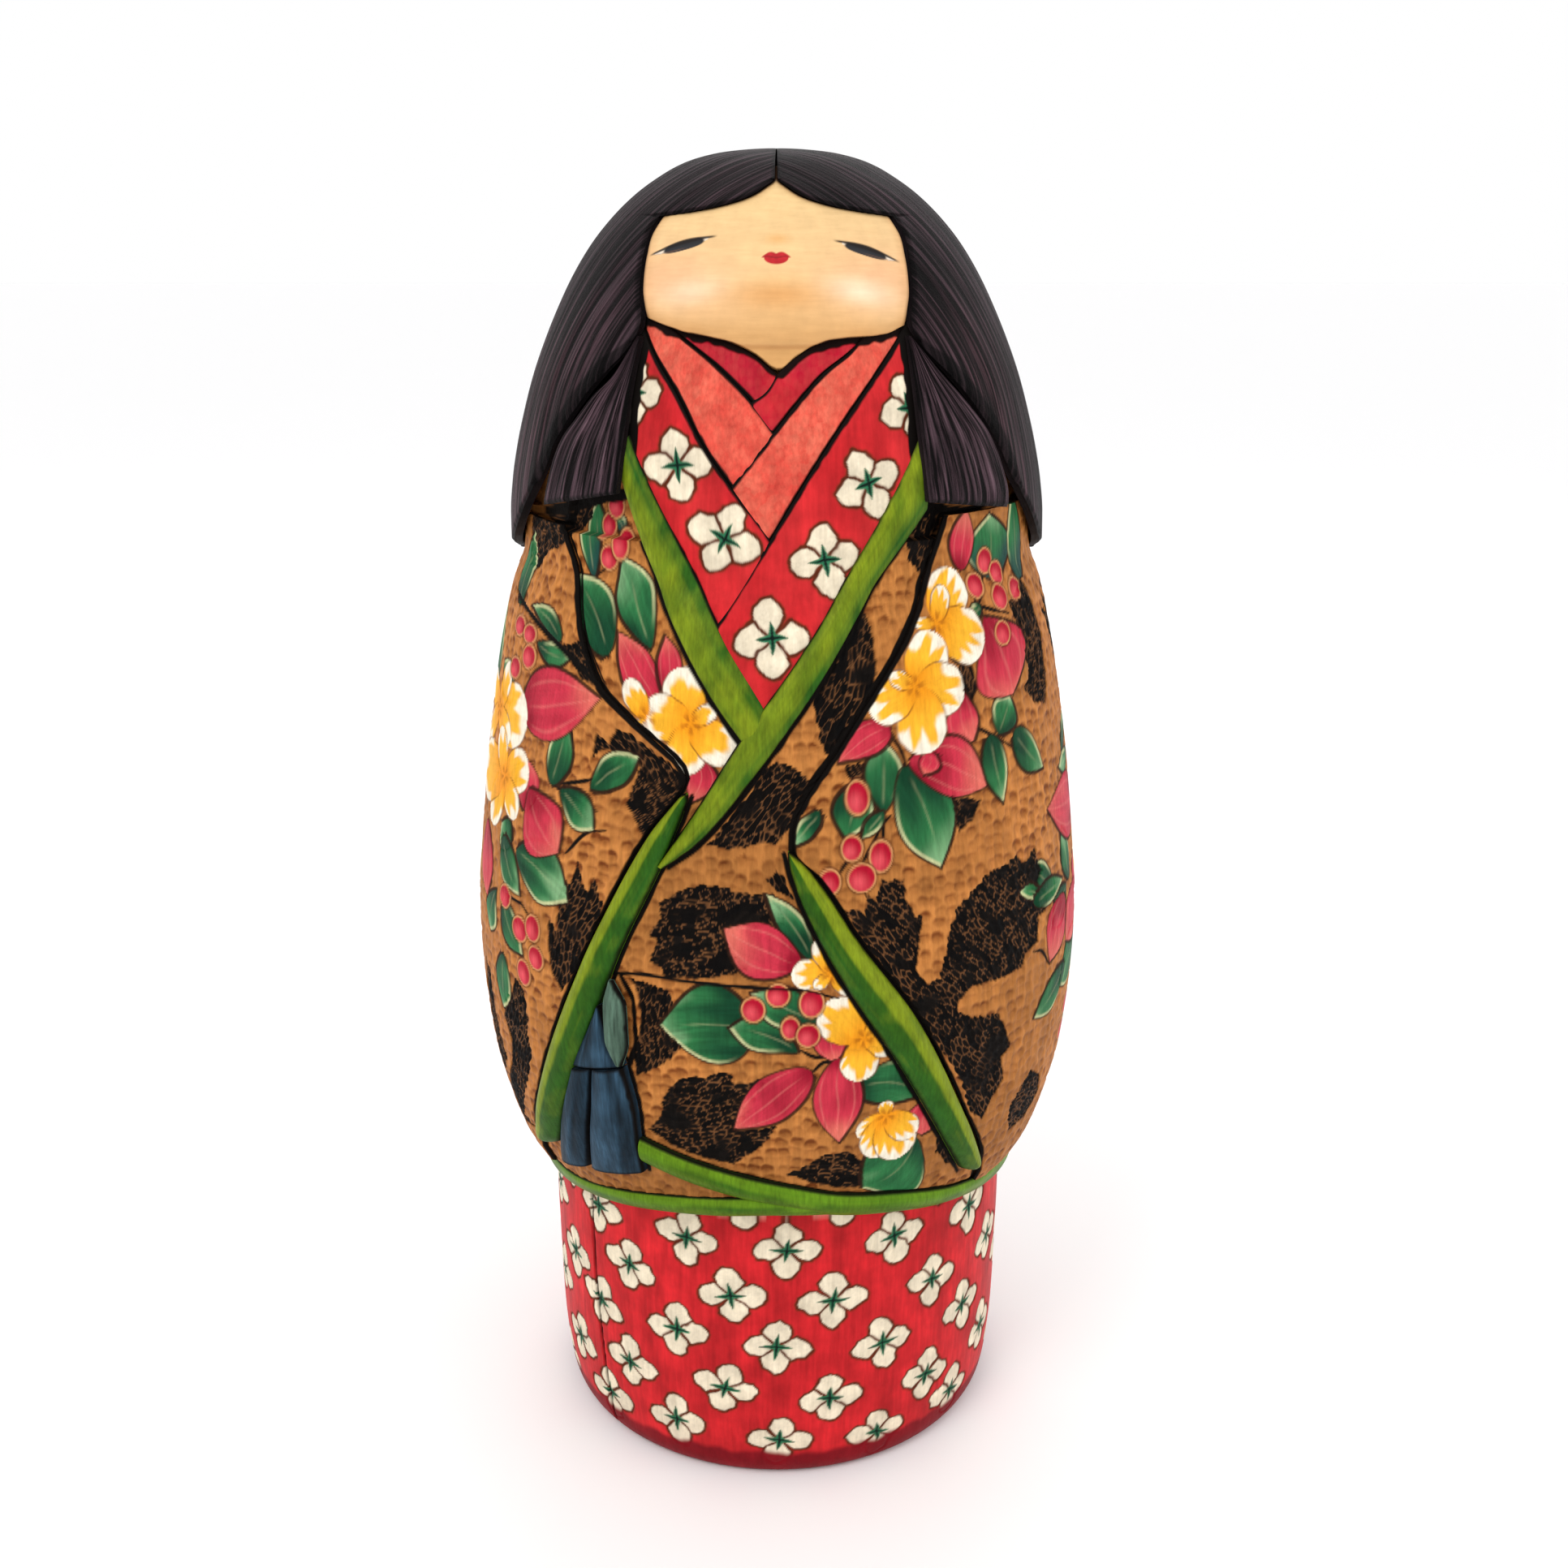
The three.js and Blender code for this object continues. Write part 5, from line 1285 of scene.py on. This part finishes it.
def paint_eye(canvas, out_a, out_z, in_a, in_z, mid_a, mid_z):
    """A long half-closed eye: white, iris, upper lash line and a short lower lid."""
    k, _, y = face_place(canvas, mid_a, mid_z)
    x = np.radians(wrap(canvas.th[k] - mid_a)) * EYE_RADIUS
    dx, dy = math.radians(in_a - out_a) * EYE_RADIUS, (in_z - out_z) * FACE_SLOPE
    ox, oy = math.radians(out_a - mid_a) * EYE_RADIUS, (out_z - mid_z) * FACE_SLOPE
    length = math.hypot(dx, dy)
    ex, ey = dx / length, dy / length
    a = ((x - ox) * ex + (y - oy) * ey) / length
    b = (-(x - ox) * ey + (y - oy) * ex) * (1 if ex > 0 else -1) - 0.75 * arch(a) * 0.9
    lash = smooth(0.36, 0.06, np.abs(b) - 0.24 * arch(a) ** 2) * smooth(-0.06, 0.06, a) * smooth(1.06, 0.94, a)
    white = np.clip(-b, 0, 9) < 1.35 * arch((a - 0.02) / 0.92) ** 0.7
    white = white & (b < 0.05) & (a > 0.03) & (a < 0.9)
    canvas.lay(k, white * 0.75, rgb(250, 238, 222), 0)
    iris = np.hypot((a - 0.52) * length / 3.7, (b + 0.55) / 1.15)
    grey = rgb(40, 40, 44) * (0.7 + 0.6 * smooth(-0.2, -1.4, b))[:, None]
    canvas.lay(k, smooth(1.08, 0.92, iris) * smooth(0.3, 0.1, b), grey, 0)
    canvas.lay(k, lash * 0.95, rgb(26, 18, 16), 0)
    low_lid = smooth(0.16, 0.02, np.abs(b + 1.3 * arch(a * 0.95) ** 0.8)) * smooth(0.0, 0.1, a) * smooth(0.6, 0.4, a)
    canvas.lay(k, low_lid * 0.5, rgb(120, 84, 60), 0)


def paint_face(canvas):
    th, z, off = canvas.th, canvas.z, np.abs(canvas.th)
    canvas.paint[:] = C_FACE * (0.97 + 0.06 * noise(canvas.s * 0.05, z * 0.9, 111))[:, None]
    # Painted shade: darker and yellower over the lower face.
    canvas.tint(smooth(219, 209, z) * 0.8 * smooth(46, 12, off), rgb(208, 154, 94))
    canvas.tint(smooth(226, 233, z) * 0.4, rgb(240, 206, 146))
    for side in (-1, 1):
        x = np.radians(th - side * 28) * CHEEK_RADIUS
        d = np.hypot(x / 10.5, (z - 218.2) / 5.0)
        canvas.tint(np.exp(-(d**2)) * 0.6, rgb(240, 178, 138))
    # Painted highlights on the cheeks, the right one brighter, over a slight swelling of the surface.
    for side, swell, pale in ((-1, 0.3, 0.45), (1, 0.45, 0.7)):
        x = np.radians(th - side * 21) * CHEEK_RADIUS
        cheek_highlight = np.exp(-((x / 5.2) ** 2 + ((z - 216.6 + 0.12 * side * x) / 1.9) ** 2))
        canvas.depth -= swell * cheek_highlight
        canvas.tint(cheek_highlight * pale, rgb(254, 236, 206))
    # Painted shade below the mouth, under the jaw and along the edge of the hair.
    x = np.radians(th) * CHEEK_RADIUS
    below_mouth = np.exp(-((x / 8.0) ** 2 + ((z - 216.2) / 2.4) ** 2)) * 0.75
    jaw = curve(NECK)(np.clip(th, -35, 33))
    under_jaw = smooth(jaw + 3.4, jaw + 0.6, z) * smooth(13, 20, off) * 0.5
    by_hair = smooth(3.4, 0.4, (opening_at(z) - off) * 0.62) * 0.45
    for m, shade in ((below_mouth, rgb(222, 158, 92)), (under_jaw, rgb(204, 148, 88)), (by_hair, rgb(206, 152, 98))):
        canvas.tint(m, shade)
    edge = off - opening_at(z)
    canvas.dark_mark(ALL, smooth(-2.2, -0.3, edge) * 0.95 * (z > 207), rgb(60, 26, 14), 0)
    # Painted shade round the nose, over its small bump.
    nose_k, x, y = face_place(canvas, 0.5, 224.6)
    m = np.exp(-((x / 1.9) ** 2 + (y / 0.9) ** 2)) * 0.5
    canvas.lay(nose_k, m, rgb(226, 160, 84), 0)
    canvas.depth[nose_k] -= 0.55 * np.exp(-((x / 2.0) ** 2 + ((y - 0.8) / 1.6) ** 2))
    lips_k, x, y = face_place(canvas, 0.1, 221.75)
    dip = 0.78 + 0.42 * np.sin(np.clip(np.abs(x), 0, 2.1) * 1.5)
    bow = 0.95 * np.sqrt(np.clip(1 - (np.abs(x) / LIP_HALF) ** 2.2, 0, 1)) * dip
    low = -1.25 * np.sqrt(np.clip(1 - (np.abs(x) / 2.0) ** 2, 0, 1))
    f = np.maximum(y - bow, low - y)
    f = np.where(np.abs(x) > LIP_HALF, np.hypot(np.abs(x) - LIP_HALF, y), f)
    canvas.lay(lips_k, smooth(0.14, -0.12, f), rgb(186, 34, 42) * (0.9 + 0.25 * noise(x * 2, y * 2, 3))[:, None], 0)
    parting = smooth(0.22, 0.05, np.abs(y - 0.1 + 0.12 * np.cos(x * 2.2))) * smooth(2.3, 1.9, np.abs(x))
    canvas.lay(lips_k, parting * 0.6, rgb(120, 22, 26), 0)
    canvas.depth[lips_k] -= 0.22 * smooth(0.3, -0.7, f)
    for eye in EYES:
        paint_eye(canvas, *eye)
    canvas.stroke(NECK, 1.1, rgb(50, 20, 12), 0.2, taper=False)
    # Painted shade along the chin crease and on the neck under the chin.
    crease = smooth(0.7, 0.0, np.abs(z - 208.2 - 0.0012 * th**2)) * smooth(17, 9, off)
    canvas.tint(crease * 0.4, rgb(178, 118, 62))
    canvas.tint(smooth(208.6, 207.4, z) * 0.3, rgb(206, 150, 84))
    # Painted shade: black beside the side locks below the jaw.
    canvas.tint(smooth(31.5, 33, off) * smooth(210.5, 209, z), BURNT_AND_SHADOW)


def head():
    angles = np.concatenate([np.linspace(-46, 46, 420, endpoint=False), np.linspace(46, 314, 90, endpoint=False)])
    heights = np.concatenate([np.linspace(196, 203, 6, endpoint=False), np.linspace(203, 236.2, 240)])
    angle, z = np.meshgrid(wrap(angles), heights)
    canvas = Canvas(angle, z, hair_r)
    paint_face(canvas)
    inside = opening_at(canvas.z) - np.abs(canvas.th)
    open_here = smooth(-0.6, 1.2, inside) * smooth(206.5, 208, canvas.z)
    neck = smooth(36, 30, np.abs(canvas.th)) * smooth(208, 206.5, canvas.z)
    core = np.where(canvas.z < 212, coat_r(canvas.z) - 3.2, hair_r(canvas.z) - 2.45)
    jaw = np.maximum(curve(NECK)(np.clip(canvas.th, -33, 33)), 208.4) - 208.4
    face = hair_r(canvas.z) + face_off(canvas.z - jaw)
    shown = np.clip(open_here + neck, 0, 1)
    under = smooth(0.7, -0.1, canvas.z - curve(NECK)(np.clip(canvas.th, -36, 34)))
    radius = core + (face - core) * shown - canvas.depth - 2.0 * under * shown
    lathe("head_turned", heights, angles, radius.reshape(z.shape), canvas, C_FACE, ["head_block"], "face_wood", M_FACE)


head()


# ---------------------------------------------------------------- hair
def strand_run(angle, height, radius):
    """Which strand a point lies on: strands leave the parting sideways and then hang down."""
    x, y = radius * np.sin(np.radians(angle)), -radius * np.cos(np.radians(angle))
    push = 26 * smooth(196, 240, height) ** 1.2
    turn = np.arctan2(np.abs(x) + push, -y)
    return turn * 46 * np.sign(angle + 1e-9)


def hair_colour(canvas, run):
    fine = noise(run * 1.9, canvas.z * 0.05, 121)
    broad = noise(run * 0.35, canvas.z * 0.03, 122)
    canvas.paint[:] = C_HAIR * (0.35 + 0.9 * fine + 0.8 * broad)[:, None]
    canvas.tint(noise(run * 0.12, canvas.z * 0.04, 123) * smooth(226, 200, canvas.z) * 0.5, rgb(44, 26, 30))


def hair_back():
    """The bell of hair: a shell open over the face and shoulders, grooved along its strands."""
    dense = np.linspace(170.5, 239.995, 2400)
    arc = np.concatenate([[0], np.cumsum(np.hypot(np.diff(dense), np.diff(hair_r(dense))))])
    weight = np.cumsum(np.where((dense > 227.4) & (dense < 234.6), 3.2, 1.0) * np.gradient(arc))
    heights = np.interp(np.linspace(weight[0], weight[-1], 360), weight, dense)
    half = opening_at(heights)
    cols = 520
    u = np.linspace(0, 1, cols)
    angle = half[:, None] + (360 - 2 * half)[:, None] * u[None, :]
    z = np.broadcast_to(heights[:, None], angle.shape)
    canvas = Canvas(wrap(angle), z, hair_r)
    canvas.th = np.where(angle.ravel() > 180, angle.ravel() - 360, angle.ravel())
    base = hair_r(canvas.z)
    run = strand_run(canvas.th, canvas.z, base)
    hair_colour(canvas, run)
    groove = noise(run / 1.45, canvas.z * 0.02, 124)
    deep = smooth(0.42, 0.1, noise(run / 4.2, canvas.z * 0.015, 125))
    canvas.depth[:] = 0.16 * (1 - groove) + 0.22 * deep
    # Painted shade in the deeper grooves.
    canvas.tint(deep * 0.35, rgb(16, 12, 14))
    beside = np.abs(np.sin(np.radians(canvas.th))) * base
    front_half = np.cos(np.radians(canvas.th)) > -0.2
    parting = smooth(0.7, 0.0, beside) * smooth(231, 236, canvas.z) * front_half
    canvas.depth += 0.45 * parting
    # Painted shade in the sunk parting.
    canvas.paint *= (1 - 0.4 * parting)[:, None]
    edge = (np.abs(canvas.th) - opening_at(canvas.z)) * np.radians(1) * base
    lean = (opening_at(canvas.z + 0.2) - opening_at(canvas.z - 0.2)) / 0.4 * np.radians(1) * base
    edge = edge / np.sqrt(1 + lean**2)
    bevel = 0.45 * (1 - smooth(0, 0.9, edge)) ** 2 * (canvas.z < 234)
    hem = 0.5 * (1 - smooth(0, 1.0, canvas.z - 170.5)) ** 2
    # A thin burnt edge round the opening, widened between heights of about 184 and 210 into a painted shadow along the
    # side locks.
    broad_rim = 1.6 * smooth(210, 206, canvas.z) * smooth(184, 190, canvas.z)
    canvas.tint(smooth(0.8 + broad_rim, 0.2 + broad_rim, edge) * 0.9, C_BURN_AND_SHADOW)
    canvas.depth += 0.35 * smooth(0.6 + broad_rim, 0.1, edge) * (broad_rim > 0.2)
    radius = np.maximum(base - canvas.depth - bevel - hem, 0.05).reshape(angle.shape)
    strand = np.stack([run, canvas.z, np.zeros(len(run))], axis=1)
    patch("long_hair", angle, z, radius, lambda q: np.maximum(hair_r(q) - HAIR_THICK, 0.03), canvas, rgb(24, 18, 20),
          "hair_back", "hair_black", M_HAIR, strand, coarse=(60, 60))


hair_back()


def lock(name, edges, node, seed):
    """A blunt-cut side lock, fluted along its length."""
    angle, z, u, t, width = strip_grid(edges, 160, 96)
    canvas = Canvas(angle, z, hair_r)
    canvas.u, canvas.t, canvas.w = u.ravel(), t.ravel(), width.ravel()
    run = canvas.u * 19 + seed
    flute = noise(run * 0.8, canvas.t * 1.5, seed)
    fine = noise(run * 2.2, canvas.t * 2.5, seed + 1)
    # Painted highlights on the raised flutes.
    canvas.paint[:] = C_HAIR * (0.35 + 1.3 * flute * fine + 1.1 * fine)[:, None]
    edge = np.minimum(canvas.u, 1 - canvas.u) * canvas.w
    foot = (1 - canvas.t) * 26
    # Dark along the edges and the cut foot: burnt outline and painted shade on the rounded edge.
    canvas.tint(smooth(0.9, 0.2, np.minimum(edge, foot)) * 0.9, C_BURN_AND_SHADOW)
    bevel = 0.4 * (1 - smooth(0, 0.7, np.minimum(edge, foot))) ** 2
    radius = (hair_r(canvas.z) - 0.35 - bevel - 0.3 * (1 - flute) - 0.12 * (1 - fine)).reshape(angle.shape)
    strand = np.stack([run * 1.2, canvas.t * 30, np.zeros(len(run))], axis=1)
    return patch(name, angle, z, radius, lambda q: hair_r(q) - HAIR_THICK, canvas, rgb(20, 15, 16), node, "hair_black",
                 M_LOCK, strand, coarse=(20, 10))


lock("side_lock_left", LOCK_L, "hair_lock_left", 131)
lock("side_lock_right", LOCK_R, "hair_lock_right", 141)

for hidden in ("dowel_lower", "dowel_upper"):
    body = NODES[hidden]
    body.data.materials.clear()
    body.data.materials.append(M_BARE)


# ---------------------------------------------------------------- floor, light and camera
def floor():
    mesh = bpy.data.meshes.new("floor")
    s = 30.0
    mesh.from_pydata([(-s, -s, 0), (s, -s, 0), (s, s, 0), (-s, s, 0)], [], [(0, 1, 2, 3)])
    obj = bpy.data.objects.new("floor", mesh)
    bpy.context.scene.collection.objects.link(obj)
    material = bpy.data.materials.new("pale_floor")
    material.use_nodes = True
    shader = material.node_tree.nodes["Principled BSDF"]
    shader.inputs["Base Color"].default_value = (0.995, 0.99, 0.995, 1)
    shader.inputs["Roughness"].default_value = 0.6
    shader.inputs["Specular IOR Level"].default_value = 0.2
    mesh.materials.append(material)


def area_light(name, place, aim, size, power, colour):
    data = bpy.data.lights.new(name, "AREA")
    data.shape, data.size, data.energy, data.color = "DISK", size, power, colour
    obj = bpy.data.objects.new(name, data)
    bpy.context.scene.collection.objects.link(obj)
    obj.location = place
    obj.rotation_euler = (Vector(aim) - Vector(place)).to_track_quat("-Z", "Y").to_euler()


floor()
for name, place, aim, size, power, colour in (
        ("key", (-0.45, -0.7, 1.0), (0, 0, 0.13), 0.5, 3.2, (1.0, 0.99, 0.97)),
        ("fill", (0.85, -0.45, 0.6), (0, 0, 0.12), 0.9, 1.2, (1, 1, 1)),
        ("back", (0.1, 0.9, 0.9), (0, 0, 0.15), 0.8, 1.5, (1, 1, 1))):
    area_light(name, place, aim, size, power, colour)

world = bpy.data.worlds.new("studio")
bpy.context.scene.world = world
world.use_nodes = True
world.node_tree.nodes["Background"].inputs["Color"].default_value = (1.0, 1.0, 1.0, 1)
world.node_tree.nodes["Background"].inputs["Strength"].default_value = 1.0
bpy.context.scene.view_settings.view_transform = "Standard"

CAMERA_PLACE = (0.00533, -1.296, 0.916)  # in doll heights
CAMERA_LENS, CAMERA_SENSOR = 38.59, 36.0
CAMERA_TILT = 73  # degrees up from straight down, so 17 below level
camera_data = bpy.data.cameras.new("camera")
camera_data.sensor_width, camera_data.lens = CAMERA_SENSOR, CAMERA_LENS
camera_data.clip_start, camera_data.clip_end = 0.01, 100
camera = bpy.data.objects.new("camera", camera_data)
bpy.context.scene.collection.objects.link(camera)
camera.location = [share * HEIGHT for share in CAMERA_PLACE]
camera.rotation_euler = (math.radians(CAMERA_TILT), 0, 0)
bpy.context.scene.camera = camera
